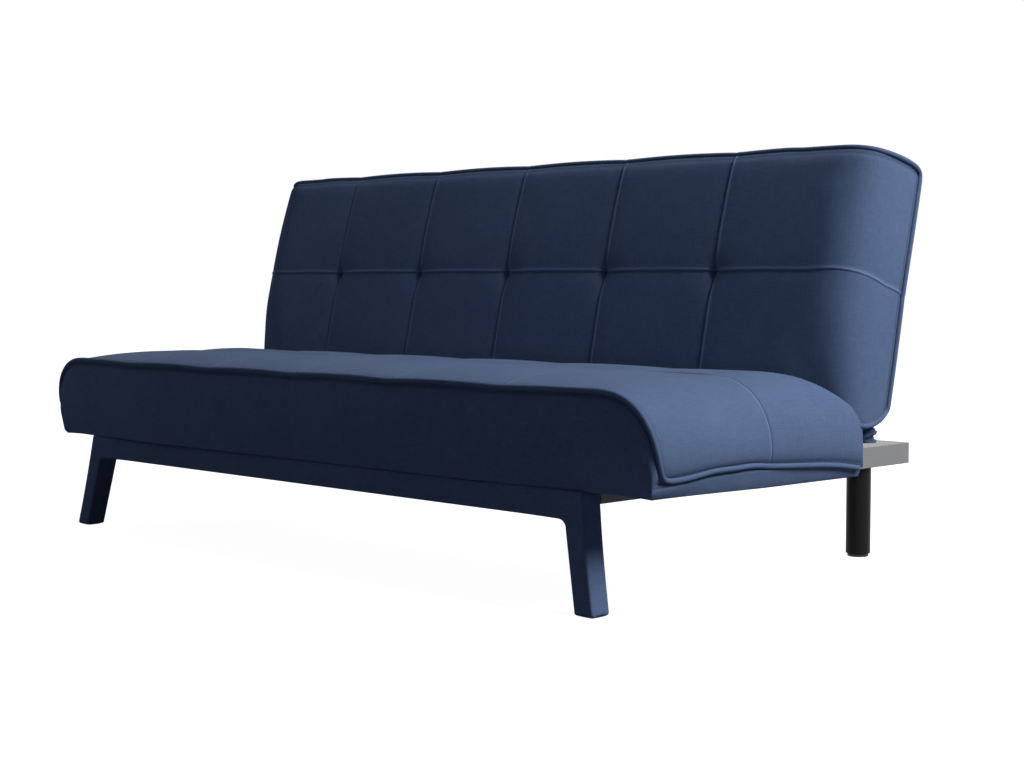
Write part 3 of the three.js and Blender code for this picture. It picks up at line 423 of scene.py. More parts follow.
# The wrap panel's path in X and Z, from the middle over the end roll to the welt at the end's foot
turn = np.linspace(0, np.pi / 2, 25)
roll_x = HALF_WIDTH - SEAT_ROLL + SEAT_ROLL * np.sin(turn)
roll_z = SEAT_TOP - SEAT_DROP + SEAT_DROP * np.cos(turn)
END_WELT_Z, END_WELT_IN = 0.222, 0.010
under = np.linspace(0, 1, 6)[1:]
path_x = np.r_[0.0, roll_x, HALF_WIDTH - END_WELT_IN * under**2]
path_z = np.r_[SEAT_TOP, roll_z, roll_z[-1] + (END_WELT_Z - roll_z[-1]) * under]
path_at = np.r_[0.0, np.cumsum(np.hypot(np.diff(path_x), np.diff(path_z)))]
path_turn = np.r_[0.0, turn, np.full(5, np.pi / 2)]
SEAT_HALF_PATH = path_at[-1]
SEAM_SHARE = 0.72


def ramp(value, low, high):
    """0 up to low, 1 from high on, and in proportion between."""
    return np.clip((value - low) / (high - low), 0, 1)


def softened(share):
    """A share that starts and ends level: three times its square less twice its cube."""
    return share**2 * (3 - 2 * share)


def bell(distance, width):
    """1 at no distance, and near 0 beyond twice the width."""
    return np.exp(-((distance / width) ** 2))


def arch(t):
    """0 at whole numbers and 1 midway."""
    return np.abs(np.sin(np.pi * t)) ** 0.8


def swell(across, along):
    """The cloth's rise between seams: full midway, a fifth along a seam's middle, none at crossings."""
    return 0.55 * across * along + 0.225 * (across + along)


def column_share(a, flat_half):
    """arch between the column seams, and along the end column it rises once and stays."""
    outer = 2 * PITCH
    past = (np.abs(a) - outer) / (2 * (flat_half - outer))
    return np.where(past > 0, arch(np.clip(past, 0, 0.5)), arch(a / PITCH))


def seat_point(a, b, c):
    """The point of the seat at the length a along the wrap panel's path, share b from front to rear and share
    c from the underside to the wrap panel: between the foot line and the wrap path at a, set back by the
    front panel's curve, with the crown between the seams."""
    side, way = np.sign(a), np.abs(a)
    wrap_x, wrap_z = np.interp(way, path_at, path_x), np.interp(way, path_at, path_z)
    out = ramp(way, path_at[1], SEAT_HALF_PATH)
    # The back presses out the rear of each end, so its roll is squarer there, as it is all along the left end
    front_square = np.where(a < 0, LEFT_SQUARE, FRONT_SQUARE * (1 - b) ** 2)
    squarer = np.maximum(REAR_SQUARE * ramp(b, 0.45, 0.90) ** 1.3, front_square)
    angle = np.interp(way, path_at, path_turn)
    power = 1 / (1 + 0.75 * squarer)
    square_x = HALF_WIDTH - SEAT_ROLL * (1 - np.sin(angle) ** power)
    square_z = SEAT_TOP - SEAT_DROP * (1 - np.cos(angle).clip(0, 1) ** power)
    rolled = (way > path_at[1]) & (wrap_z > SEAT_TOP - SEAT_DROP)
    wrap_x, wrap_z = np.where(rolled, square_x, wrap_x), np.where(rolled, square_z, wrap_z)
    # The welt of the end rises from its front corner, waves a little, and falls to its rear
    wave = b * (0.060 - 0.030 * b - 0.040 * b**2) + 0.0008 * np.sin(21 * b + side) + 0.005 * (1 - b) ** 8
    wrap_z = wrap_z + wave * out**6
    foot_x = np.minimum(wrap_x, path_x[1] + FOOT_REACH * out)
    foot_z = SEAT_FOOT - (0.0025 + 0.0085 * b) * out**2 - 0.0012 * (1 - b) ** 8
    x, z = foot_x + (wrap_x - foot_x) * c, foot_z + (wrap_z - foot_z) * c
    # The band below the end's welt bulges a little, and the left end tapers to its foot in front
    x = x + BAND_BULGE * np.sin(np.pi * c) * out**4
    x = x - LEFT_TAPER * (a < 0) * ramp(z, 0.262, 0.204) ** 1.5 * (1 - b) ** 2
    inset = CORNER_INSET * softened(ramp(way / SEAT_HALF_PATH, 0.42, 1.0))
    bow = (FOOT_BOW - LEFT_BOW_LESS * ramp(-a, 0, 0.5)) * (1 - c) ** 3 + TOP_BOW * ramp(c, 0.72, 1.0) ** 2
    # The welt turns the lower front corner a little way round it
    front = SEAT_FRONT + inset + bow + CORNER_TURN * out**6 * c**2
    # The rear is a low lip over the frame's rear bar, then a wall that leans back to the nose of the top
    # panel; the ends have no step
    stepless = ramp(way - path_at[1], 0.03, 0.14) ** 1.5
    lip_y = LIP_REAR + (SEAT_END_REAR - LIP_REAR) * stepless
    lip_z = np.minimum(LIP_TOP, foot_z + 0.9 * (wrap_z - foot_z))
    lip = np.interp(c, [0, 0.22, 0.30, 0.34, 0.55, 0.60], [1, 1, 0.97, 0.90, 0.05, 0])
    lip_rise = np.interp(c, [0, 0.22, 0.30, 0.34], [0, 0.80, 0.96, 1])
    wall_rise = np.interp(c, [0.56, 0.60, 1], [0, 0.04, 1])
    wall_y = SEAT_WALL + (SEAT_NOSE - SEAT_WALL) * wall_rise - 0.006 * ramp(c, 0.95, 1.0)
    wall_y = wall_y + (SEAT_END_REAR - 0.012 * wall_rise - wall_y) * stepless
    rear = wall_y + (lip_y - wall_y) * lip
    rear_z = foot_z + (lip_z - foot_z) * lip_rise + (wrap_z - lip_z) * wall_rise
    before, behind = b / SEAM_SHARE, (b - SEAM_SHARE) / (1 - SEAM_SHARE)
    y_before, y_behind = front + (SEAT_SEAM_Y - front) * before, SEAT_SEAM_Y + (rear - SEAT_SEAM_Y) * behind
    y = np.where(b < SEAM_SHARE, y_before, y_behind)
    z = z + (rear_z - z) * b
    along = arch(np.where(b < SEAM_SHARE, before, behind) % 1.0)
    rise = SEAT_CROWN * swell(column_share(a, SEAT_HALF_PATH), along) * c**4
    x = x + rise * np.sin(angle)
    to_seam = (a / PITCH - np.round(a / PITCH)) * PITCH
    dip = SEAM_DIP * bell(to_seam, 0.06) * (way < 2.4 * PITCH) * c**4 * (1 - b) ** 2
    # The top rises a little towards the back, and turns down at its rear edge
    uphill = UPHILL * softened(ramp(b, 0.35, 0.80)) * (1 - out)
    uphill = uphill - REAR_TURN * ramp(b, 0.9, 1.0) ** 2 * (1 - 0.6 * out)
    # In front of the level seam the foam is domed, fullest a third of the way back, and flatter at the ends
    dome = np.sin(np.pi * np.clip(before, 0, 1) ** 0.75).clip(0) ** 0.8
    dome = SEAT_DOME * dome * (1 - ramp(way - 2 * PITCH, 0, 0.26) ** 2) * c**4
    lift = rise + dome - FRONT_SINK * c**4 * (1 - b) ** 6
    return np.stack([side * x, y, z + lift * np.cos(angle) - dip + uphill * wall_rise], axis=-1)


def panel_uv(a, b, c, quads, kind, depth, height):
    """A UV map in metres: each side of the skin is mapped by the two lengths that run along it."""
    u = np.where(kind[:, None] < 4, a[quads], b[quads] * depth)
    v = np.where(kind[:, None] < 2, b[quads] * depth, c[quads] * height)
    return np.stack([u, v], axis=-1).reshape(-1, 2)


COLUMN_SEAMS = PITCH * np.arange(-2, 3)
ON_LINE, BESIDE_WELT = 1e-4, 0.004


def cushion_skin(name, point, half_path, level_seam, lines_b, lines_c, depth, height, held, cap):
    """A cushion's closed skin, with lines of points on each seam and beside it. Air swells it between its
    seams, and it is then smoothed. Its edges, the side where c is 0 and the one where b is held stay put."""
    lines_a = finer_near(-half_path, half_path, STEP, COLUMN_SEAMS, SEAM_HALF)
    lines_a = np.unique(np.r_[lines_a, BESIDE_WELT - half_path, half_path - BESIDE_WELT])
    a, b, c, quads, kind = block_skin(lines_a, lines_b, lines_c)
    uv = panel_uv(a, b, c, quads, kind, depth, height)
    made = new_mesh(name, point(a, b, c), quads, uv, a=a, b=b, c=c)
    seam = (np.abs(a[:, None] - COLUMN_SEAMS).min(axis=1) < ON_LINE) | (np.abs(b - level_seam) < ON_LINE)
    wrapped = c > 0.999
    edge = wrapped & ((b < 0.001) | (b > 0.999) | (np.abs(a) > half_path - ON_LINE))
    pins = np.where(seam & wrapped, 0.85, 0.0)
    puffed(made, np.where(edge | (c < 0.001) | (np.abs(b - held) < 0.001), 1.0, pins), cap)
    made.modifiers.new("smooth", "SUBSURF").levels = 1
    settled(made)
    return made


SEAT_CAP, SEAT_SPAN = 0.003, (0.51, 0.18)
lines_b = finer_near(0.0, 1.0, 0.028, [SEAM_SHARE], 0.006)
lines_b = np.unique(np.r_[lines_b, 0.007, np.arange(0.742, 0.80, 0.006), 0.988])
lines_c = np.r_[0, 0.03, 0.1, 0.18, 0.25, 0.3, 0.34, 0.44, 0.55, 0.6, 0.64, 0.72, 0.8, 0.88, 0.94, 0.975, 1]
seat_sides = SEAT_HALF_PATH, SEAM_SHARE, lines_b, lines_c
seat_cushion = cushion_skin("seat_cushion", seat_point, *seat_sides, *SEAT_SPAN, 1, SEAT_CAP)

# The face is where c is nearly 1. A seam has a depth and the widths of its parts, and its ridge and the welt's
# shaded line lie a little way off.
FACE_FROM = 0.97
SEAM_DEPTH = 0.0010
GROOVE, RIDGE, RIDGE_OFF, TROUGH, PUCKER = 0.0018, 0.0019, 0.0034, 0.012, 0.022
WELT_DIP, SHADE, SHADE_OFF = 0.006, 0.0032, 0.0085


def sewn(obj, across, along, strength, welt_distance, stand=1.7, paler=1.0, darker=1.0):
    """Seams drawn into the skin. Each sinks along its line, where two layers meet, and stands up beside it,
    where they are folded under: a point moves along its normal by bells of its distance across. Either side
    the cloth is drawn into small puckers, waves of its place along the seam that fade away from it."""
    move, fold, painted_shade = np.zeros((3, len(obj.data.vertices)))
    for distance, way, much in zip(across, along, strength):
        groove, ridge = bell(distance, GROOVE), bell(distance - RIDGE_OFF, RIDGE)
        move += SEAM_DEPTH * much * (stand * ridge - 0.6 * groove - 0.3 * bell(distance, TROUGH))
        waves = np.sin(way * 190 + 2.3 * np.sin(way * 31)) * (0.55 + 0.45 * np.sin(way * 17 + 1))
        move += 0.35 * SEAM_DEPTH * waves * bell(distance, PUCKER)
        # Each ridge gets a painted highlight and each groove a painted shade
        fold, painted_shade = np.maximum(fold, paler * ridge * much), np.maximum(painted_shade, darker * groove * much)
    # Past the welt's cord the cloth dips, and a painted shade line darkens the dip
    shaded = bell(welt_distance - SHADE_OFF, SHADE)
    move -= SEAM_DEPTH * (bell(welt_distance, WELT_DIP) + 1.2 * shaded)
    push_out(obj.data, move)
    keep_share(obj.data, "fold", fold)
    keep_share(obj.data, "painted_shade", np.maximum(painted_shade, 1.6 * shaded))


def from_nearest(values, lines):
    """The signed distance from each value to the nearest line."""
    gap = values[:, None] - lines
    return gap[np.arange(len(values)), np.abs(gap).argmin(axis=1)]


a, b, c = shares_of(seat_cushion.data)
place_y = points_of(seat_cushion.data)[:, 1]
to_column = from_nearest(a, COLUMN_SEAMS)
to_middle = (SEAT_SEAM_Y - place_y) * np.where(np.abs(b - SEAM_SHARE) < 0.12, 1, 9)
off_face = np.where(c > FACE_FROM, 0.0, 1.0)
to_front_edge = np.hypot(b * 0.51, (1 - c) * 0.17)
to_end_edge = np.hypot(SEAT_HALF_PATH - np.abs(a), (1 - c) * 0.03)
welt_distance = np.minimum(np.where((c > 0.5) | (b < 0.2), to_front_edge, 1.0), to_end_edge)
seams = (to_column + off_face, to_middle + off_face), (place_y, a), (1.0, 1.0)
sewn(seat_cushion, *seams, welt_distance, stand=0.8, paler=0.5, darker=2.0)

# Under the front welt the cloth hangs in faint upright puckers, and a short crease runs along the level seam
# from each crossing
HANG_DEPTH, CREASE_RISE, CREASE_DEPTH = 0.0007, 0.0022, 0.0020
hang = np.sin(a * 150 + 2 * np.sin(a * 11)) * (0.5 + 0.5 * np.sin(a * 5.3 + 1)) * (b < 0.01)
move = HANG_DEPTH * hang * bell(1 - c, 0.4) * (1 - bell(1 - c, 0.05))
past = (to_column - 0.04) / np.where(np.abs(a) > 2 * PITCH, 0.17, 0.09)
behind_seam = points_of(seat_cushion.data)[:, 1] - SEAT_SEAM_Y - 0.006
much = (0.35 + 0.65 * np.sin(3.1 * np.round(a / PITCH) + 1.9) ** 2) * (c > FACE_FROM) * (np.abs(a) < 0.8)
much = much * np.exp(-(((past - 0.5) / 0.38) ** 4))
crease = much * bell(behind_seam, 0.0042)
move = move + CREASE_RISE * much * bell(behind_seam - 0.009, 0.007) - CREASE_DEPTH * crease
# The crease is darkened with painted shade
(painted_shade,) = shares_of(seat_cushion.data, ["painted_shade"])
keep_share(seat_cushion.data, "painted_shade", np.maximum(painted_shade, 1.5 * crease))
push_out(seat_cushion.data, move)
navy.on(smooth(seat_cushion))


# The welt is a cord of the same cloth sewn along the front edge and round the foot of each end
def closed_skin(name, rings, lengthwise=False):
    """A closed skin over rings of equal count, ended by flat caps. Its UV map, in metres, runs around and
    along, or along and around when lengthwise. It faces out where its volume, the sum of a third of each
    quad's area times its height, is positive."""
    n, sides = rings.shape[:2]
    ids = np.arange(n * sides).reshape(n, sides)
    after = np.roll(ids, -1, axis=1)
    quads = np.stack([ids[:-1], after[:-1], after[1:], ids[1:]], -1).reshape(-1, 4)
    along = length_along(rings.mean(axis=1))
    edge = np.linalg.norm(np.roll(rings, -1, axis=1) - rings, axis=2).mean(axis=0)
    around = np.r_[0.0, np.cumsum(edge)]
    u = np.broadcast_to(np.stack([around[:-1], around[1:], around[1:], around[:-1]], -1), (n - 1, sides, 4))
    v = np.stack([along[:-1], along[:-1], along[1:], along[1:]], -1)[:, None].repeat(sides, axis=1)
    uv = np.stack([v, u] if lengthwise else [u, v], -1).reshape(-1, 4, 2)
    cap_uv = np.zeros((2 * sides, 2))
    faces, caps, points = quads, [ids[0][::-1], ids[-1]], rings.reshape(-1, 3)
    first, second, third, fourth = (points[quads[:, k]] for k in range(4))
    if (np.cross(third - first, fourth - second) * (first + second + third + fourth)).sum() < 0:
        faces, uv, caps = faces[:, ::-1], uv[:, ::-1], [cap[::-1] for cap in caps]
    return smooth(new_mesh(name, points, [*faces, *caps], np.concatenate([uv.reshape(-1, 2), cap_uv])))


def carried(name, path, radius, sides=10):
    """A round section carried along a path of points: each ring lies in the plane square to the path there,
    and its first direction is the last one made square again, so the skin doesn't twist."""
    path = np.asarray(path, float)
    ahead = np.gradient(path, axis=0)
    ahead /= np.linalg.norm(ahead, axis=1, keepdims=True)
    first = np.cross(ahead[0], [0.31, 0.21, 0.93])
    firsts = []
    for t in ahead:
        first = first - t * (first @ t)
        first = first / np.linalg.norm(first)
        firsts.append(first)
    firsts = np.array(firsts)
    seconds = np.cross(ahead, firsts)
    angle = np.linspace(0, 2 * np.pi, sides, endpoint=False)[None, :, None]
    rings = path[:, None] + radius * (np.cos(angle) * firsts[:, None] + np.sin(angle) * seconds[:, None])
    return closed_skin(name, rings, lengthwise=True)


def averaged(path):
    """The inner points of the path, each averaged with its neighbours."""
    return 0.25 * path[:-2] + 0.5 * path[1:-1] + 0.25 * path[2:]


def length_along(path):
    """The length along a path at each of its points."""
    return np.r_[0.0, np.cumsum(np.linalg.norm(np.diff(path, axis=0), axis=1))]


def evened(path, step=0.006, rounds=2):
    """The path with its corners eased and points a step apart."""
    for _ in range(rounds):
        path[1:-1] = averaged(path)
    way = length_along(path)
    at = np.linspace(0, way[-1], int(way[-1] / step) + 1)
    return np.stack([np.interp(at, way, path[:, k]) for k in range(3)], axis=-1)


def eased_at(path, corners, rounds, reach=0.05):
    """The path with its turns near the given points rounded: only points within reach of one are averaged."""
    for _ in range(rounds):
        near = np.linalg.norm(path[1:-1, None] - corners[None], axis=2).min(axis=1) < reach
        path[1:-1] = np.where(near[:, None], averaged(path), path[1:-1])
    return path


WELT_RADIUS = 0.0050
SEAT_WELT_PROUD, END_WELT_PROUD = 0.0030, 0.0022
SEAT_WELT_ROUNDS = 20


def edge_path(mesh, chosen, key, proud):
    """The chosen points of a mesh, pushed out along their normals, in the order of key."""
    place = points_of(mesh) + normals_of(mesh) * proud
    which = np.flatnonzero(chosen)
    return place[which[np.argsort(key[which])]]


a, b, c = shares_of(seat_cushion.data)
wrapped = c > 0.999
front_welt = edge_path(seat_cushion.data, wrapped & (b < 0.001), a, SEAT_WELT_PROUD)
at_end = [wrapped & (s * a > SEAT_HALF_PATH - ON_LINE) for s in (-1, 1)]
left_welt, right_welt = (edge_path(seat_cushion.data, chosen, b, END_WELT_PROUD) for chosen in at_end)
welt = evened(np.concatenate([left_welt[:0:-1], front_welt, right_welt[1:]]))
seat_welt = carried("seat_welt", eased_at(welt, front_welt[[0, -1]], SEAT_WELT_ROUNDS), WELT_RADIUS)
navy.on(seat_welt)


# The frame sits in a recess under the foam, and the rails and hinges pass the rear
def hollowed(obj, low, high, at=lambda x, y, z: np.stack([x, y, z], axis=-1)):
    """Cuts a box out of a piece. Its corners are placed by at, from values that run from low to high."""
    ends = np.array([0.0, 1.0])
    *shares, quads, _ = block_skin(ends, ends, ends)
    corner = (l + (h - l) * share for l, h, share in zip(low, high, shares))
    cutter = new_mesh("cutter", at(*corner), quads, np.zeros((4 * len(quads), 2)))
    cut = obj.modifiers.new("cut", "BOOLEAN")
    cut.operation, cut.solver, cut.object = "DIFFERENCE", "MANIFOLD", cutter
    settled(obj)
    bpy.data.objects.remove(cutter)


CLEAR, RAIL_CLEAR, PLATE_CLEAR, PLATE_OVER = 0.0006, 0.002, 0.0023, 0.001
BELOW_FOAM = 0.15
under_bars, over_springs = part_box("seat_frame_front")[0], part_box("seat_spring_1")[1]
bar_end, rear_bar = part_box("seat_end_frame_right")[1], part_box("seat_frame_rear")[1]
recess_foot = (-bar_end[0] - CLEAR, under_bars[1] - CLEAR, BELOW_FOAM)
hollowed(seat_cushion, recess_foot, (bar_end[0] + CLEAR, rear_bar[1] + CLEAR, over_springs[2] + CLEAR))
rail_low, rail_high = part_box("side_rail_right")
arm_low, arm_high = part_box("seat_arm_right")
plate_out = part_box("hinge_bracket_right")[1][0]
# A slot for each rail, and a pocket for its hinge plates
rail_slot = rail_low[0] - RAIL_CLEAR, rail_high[0] + RAIL_CLEAR, rail_high[2] + RAIL_CLEAR
plate_pocket = arm_low[0] - PLATE_CLEAR, plate_out + PLATE_CLEAR, arm_high[2] + PLATE_OVER
for side in (-1, 1):
    for inner, outer, top in (rail_slot, plate_pocket):
        span = sorted((side * inner, side * outer))
        hollowed(seat_cushion, (span[0], rear_bar[1] - 0.01, BELOW_FOAM), (span[1], LIP_REAR + 0.02, top))
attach(seat_cushion, "seat")
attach(seat_welt, "seat")
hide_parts("seat_pad")

# ------------------------ back cushion
# The back is the same build as the seat, leaning back 12.9 degrees: a wrap panel over the face and both ends,
# a top panel inside the welt, and buttons of thread that pull the crossings of its seams deep into the foam.
LEAN = radians(12.9)
BACK_AXIS_Y, BACK_AXIS_Z = 0.087, 0.5675


def on_back(x, u, v):
    """The point at x across, u up the leaning back and v behind its face."""
    y = BACK_AXIS_Y + u * np.sin(LEAN) + v * np.cos(LEAN)
    z = BACK_AXIS_Z + u * np.cos(LEAN) - v * np.sin(LEAN)
    return np.stack(np.broadcast_arrays(x, y, z), axis=-1)


BACK_TOP, BACK_FOOT = 0.239, -0.269
BACK_HEIGHT = BACK_TOP - BACK_FOOT
BACK_ROLL_X, BACK_ROLL_V = 0.105, 0.112
BACK_REAR = 0.1568
BACK_EDGE = 0.151
BACK_CROWN, MEAN_SWELL = 0.0014, 0.42
BACK_SQUARE = 2 / 3
REAR_REACH = 0.099
PRESS_IN, PRESS_BACK = 0.016, 0.020
FOOT_ROUND = 0.030
TOP_ROUND, TOP_EASE = 0.020, 0.012
END_NARROW, LEFT_NARROW = 0.004, 0.010
FOOT_RISE, TOP_WAVE, TOP_CROWN, SEAM_FALL = 0.050, 0.0035, 0.007, 0.025
back_flat = HALF_WIDTH - BACK_ROLL_X
wrap_x = np.r_[0.0, back_flat + BACK_ROLL_X * np.sin(turn) ** BACK_SQUARE, HALF_WIDTH]
wrap_v = np.r_[0.0, BACK_ROLL_V - BACK_ROLL_V * np.cos(turn).clip(0, 1) ** BACK_SQUARE, BACK_EDGE]
wrap_at = np.r_[0.0, np.cumsum(np.hypot(np.diff(wrap_x), np.diff(wrap_v)))]
BACK_HALF_PATH = wrap_at[-1]
slope = np.arctan2(np.gradient(wrap_v), np.gradient(wrap_x))
back_tilt = np.r_[0.0, slope[1:-1], np.pi / 2]
# The left end has settled to a rounder roll than the right one
soft_x = np.r_[0.0, back_flat + BACK_ROLL_X * np.sin(turn), HALF_WIDTH]
soft_v = np.r_[0.0, BACK_ROLL_V - BACK_ROLL_V * np.cos(turn), BACK_EDGE]
back_seam_share = -BACK_FOOT / BACK_HEIGHT


def quarter_round(share):
    """What is left of a quarter round at a share of its length: all at 0, where it is steep, none at 1."""
    return 1 - np.sqrt(np.clip(1 - (1 - share) ** 2, 0, 1))


def back_point(a, b, c):
    """The point of the back at the length a along the wrap panel's path, share b from foot to top, and share
    c from the rear panel to the wrap panel."""
    side, way = np.sign(a), np.abs(a)
    x_face = np.where(a > 0, np.interp(way, wrap_at, wrap_x), np.interp(way, wrap_at, soft_x))
    v_face = np.where(a > 0, np.interp(way, wrap_at, wrap_v), np.interp(way, wrap_at, soft_v))
    out = ramp(way, wrap_at[1], BACK_HALF_PATH)
    x_rear = np.minimum(x_face, back_flat + REAR_REACH * out)
    # The lower corner of each end is pressed in where the seat's end rolls up against it
    press = ramp(b, 0.40, 0.06) ** 1.5 * np.sin(np.pi * ramp(way - wrap_at[1], -0.05, 0.15)) ** 2
    x_face = x_face - PRESS_IN * press
    v_face = v_face + PRESS_BACK * press
    # The face turns under at the foot and eases back at the top
    turn_under = FOOT_ROUND * quarter_round(ramp(b * BACK_HEIGHT, 0, FOOT_ROUND))
    turn_over = TOP_EASE * quarter_round(ramp((1 - b) * BACK_HEIGHT, 0, TOP_ROUND))
    v_face = v_face + (turn_under + turn_over) * (1 - out)
    x_face = x_face - (END_NARROW + LEFT_NARROW * (a < 0)) * out * ramp(b, 0.62, 1.0) ** 2
    x_rear = np.minimum(x_rear, x_face)
    x = x_rear + (x_face - x_rear) * c
    rear = BACK_REAR + 0.001 * np.sin(np.pi * b) ** 0.7 * (1 - out)
    v = rear + (v_face - rear) * c
    foot = BACK_FOOT + FOOT_RISE * ramp(v, 0.080, 0.162) ** 1.7
    # The top stands a little higher at the face, falls at the ends, and swells between its seams
    top = BACK_TOP + 0.004 * ramp(v, 0.05, 0) - 0.004 * out - 0.008 * ramp(out, 0.84, 1.0) ** 2
    top = top + TOP_WAVE * (arch(a / PITCH) - 0.5) * (way < 2.5 * PITCH)
    top = top + TOP_CROWN * np.sin(np.pi * c) * (0.4 + 0.6 * column_share(a, BACK_HALF_PATH))
    u = foot + (top - foot) * b
    # The level seam rises a little over the roll and falls to the rear edge of the end
    over_roll = 0.004 * np.sin(np.pi * ramp(out * 1.4, 0, 1))
    u = u + np.sin(np.pi * b) * (over_roll - SEAM_FALL * out**4)
    below, above = b / back_seam_share, (b - back_seam_share) / (1 - back_seam_share)
    row = np.where(b < back_seam_share, below, above) % 1.0
    rise = BACK_CROWN * (swell(column_share(a, BACK_HALF_PATH), arch(row)) - MEAN_SWELL) * c**4
    tilt = np.interp(way, wrap_at, back_tilt)
    x = x + rise * np.sin(tilt)
    # The face bends away a little above and below its level seam
    bend = 0.012 * np.clip(u / BACK_TOP, 0, 2) ** 2 + 0.004 * np.clip(u / BACK_FOOT, 0, 2) ** 2
    v = v - rise * np.cos(tilt) + bend * c
    return on_back(side * x, u, v)


BACK_CAP, BACK_SPAN = 0.0014, (0.50, 0.16)
lines_b = np.unique(np.r_[finer_near(0.0, 1.0, 0.030, [back_seam_share], 0.006), 0.008, 0.992])
lines_c = np.r_[0, 0.03, np.linspace(0.1, 0.9, 9), 0.97, 1]
back_sides = BACK_HALF_PATH, back_seam_share, lines_b, lines_c
back_cushion = cushion_skin("back_cushion", back_point, *back_sides, *BACK_SPAN, 0, BACK_CAP)

a, b, c = shares_of(back_cushion.data)
to_column = from_nearest(a, COLUMN_SEAMS)
to_row = (b - back_seam_share) * BACK_HEIGHT
off_face = np.where(c > FACE_FROM, 0.0, 1.0)
to_top_edge = np.hypot((1 - b) * 0.50, (1 - c) * 0.15)
to_rear_edge = np.hypot(BACK_HALF_PATH - np.abs(a), (1 - c) * 0.01)
# The upright seams are pulled tighter from left to right
pulled = 0.45 + 0.55 * ramp(a, -2 * PITCH, 2 * PITCH)
seams = (to_column + off_face, to_row + off_face), (b * BACK_HEIGHT, a), (pulled, 0.9)
sewn(back_cushion, *seams, np.minimum(to_top_edge, to_rear_edge))

# Each crossing is pulled in by a thread, which draws a short crease along the upright seam
BUTTON_DEEP, BUTTON_WIDE, BUTTON_CREASE = 0.007, 0.004, 0.003
to_tuft = np.hypot(to_column, to_row)
pull = BUTTON_DEEP * bell(to_tuft, 0.010) + BUTTON_WIDE * bell(to_tuft, 0.035)
pull = (pull + BUTTON_CREASE * bell(to_column, 0.006) * bell(to_row, 0.035)) * (c > FACE_FROM)
push_out(back_cushion.data, -pull)
navy.on(smooth(back_cushion))

# Its welt runs up the rear edge of the left end from the foot, along the top, and down the right end
BACK_WELT_PROUD, BACK_WELT_ROUNDS = 0.0016, 4
a, b, c = shares_of(back_cushion.data)
wrapped, footed = c > 0.999, b < 0.001


def back_edge(chosen, key):
    """The chosen points of the back's front edges, in the order of key."""
    return edge_path(back_cushion.data, wrapped & chosen, key, BACK_WELT_PROUD)


top_welt = back_edge(b > 0.999, a)
left_fall, right_fall = (back_edge(s * a > BACK_HALF_PATH - ON_LINE, b) for s in (-1, 1))
left_foot, right_foot = (back_edge(footed & (s * a > back_flat), -s * a) for s in (-1, 1))
welt = [left_foot[:0:-1], left_fall, top_welt[1:-1], right_fall[::-1], right_foot[1:]]
welt = eased_at(evened(np.concatenate(welt)), top_welt[[0, -1]], BACK_WELT_ROUNDS)
back_welt = carried("back_welt", welt, WELT_RADIUS)
navy.on(back_welt)
# The timber frame fills a recess between the foam and the rear panel, and the hinge arms leave by its foot
FOAM_REAR, PANEL_FRONT = 0.0839, 0.1515
RECESS_HALF, RECESS_FOOT, RECESS_TOP = 0.8244, -0.2074, 0.1964
ARM_IN, ARM_OUT = 0.6654, 0.6890
recess_foot = (-RECESS_HALF, RECESS_FOOT, PANEL_FRONT)
hollowed(back_cushion, recess_foot, (RECESS_HALF, RECESS_TOP, FOAM_REAR), on_back)
for side in (-1, 1):
    span = sorted((side * ARM_IN, side * ARM_OUT))
    hollowed(back_cushion, (span[0], -0.30, PANEL_FRONT), (span[1], -0.20, FOAM_REAR), on_back)
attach(back_cushion, "back")
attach(back_welt, "back")
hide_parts("back_pad", "back_panel")

# ------------------------ covered leg frame
# The front apron and legs are one plywood frame under the same cloth, glued down tight and turned in round
# the feet. The section is carried from one foot over the apron to the other, with eased inner corners.
apron_low, apron_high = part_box("front_apron")
leg_low, leg_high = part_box("front_leg_right")
glide_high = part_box("front_glide_right")[1]
FOOT_IN, FOOT_OUT = 0.7500, 0.7930
HEAD_IN, HEAD_OUT = 0.7040, 0.7512
FRAME_TOP = leg_high[2] - 0.0004
APRON_FOOT = apron_low[2] + 0.015
INNER_EASE = 0.017
HEAD_FRONT = apron_low[1]
FOOT_FORWARD = HEAD_FRONT - leg_low[1] + 0.0010
HEAD_DEPTH, FOOT_DEPTH = apron_high[1] - apron_low[1], 0.0430
EDGE_EASE, OUTER_HOLLOW = 0.0045, 0.0022
HEM_FOOT, HEM_ROUND, HEM_DRAW = 0.0012, 0.006, 0.0045
HEM_ARCH, HEM_ARCH_TOP = 0.0026, 0.03
LEG_FROM, LEG_WHOLE = 0.62, 0.70


def leg_frame_outlines():
    """Half of the frame in X and Z from the foot to the middle: the points of its inner outline and, one for
    one, those of its outer outline. Up the leg both lean, round the corner the inner one turns on an arc, and
    along the apron both run level."""
    s = np.r_[0, 0.008, 0.018, 0.032, 0.05, np.linspace(0.08, 1, 20)]
    z_in = HEM_FOOT + (APRON_FOOT - INNER_EASE - HEM_FOOT) * s
    z_out = HEM_FOOT + (FRAME_TOP - HEM_FOOT) * s
    x_in = np.interp(z_in, [0, FRAME_TOP], [FOOT_IN, HEAD_IN])
    x_out = np.interp(z_out, [0, FRAME_TOP], [FOOT_OUT, HEAD_OUT]) - OUTER_HOLLOW * np.sin(np.pi * s)
    bend = np.linspace(0, np.pi / 2, 8)[1:]
    bend_x = x_in[-1] - 1.2 * INNER_EASE * (1 - np.cos(bend))
    bend_z = z_in[-1] + INNER_EASE * np.sin(bend)
    over_x = np.linspace(HEAD_OUT - 0.002, bend_x[-1], 7)
    run = np.linspace(bend_x[-1], 0, 36)[1:]
    inner = np.stack([np.r_[x_in, bend_x, run], np.r_[z_in, bend_z, np.full(35, APRON_FOOT)]], -1)
    outer = np.stack([np.r_[x_out, over_x, run], np.r_[z_out, np.full(42, FRAME_TOP)]], -1)
    return inner, outer


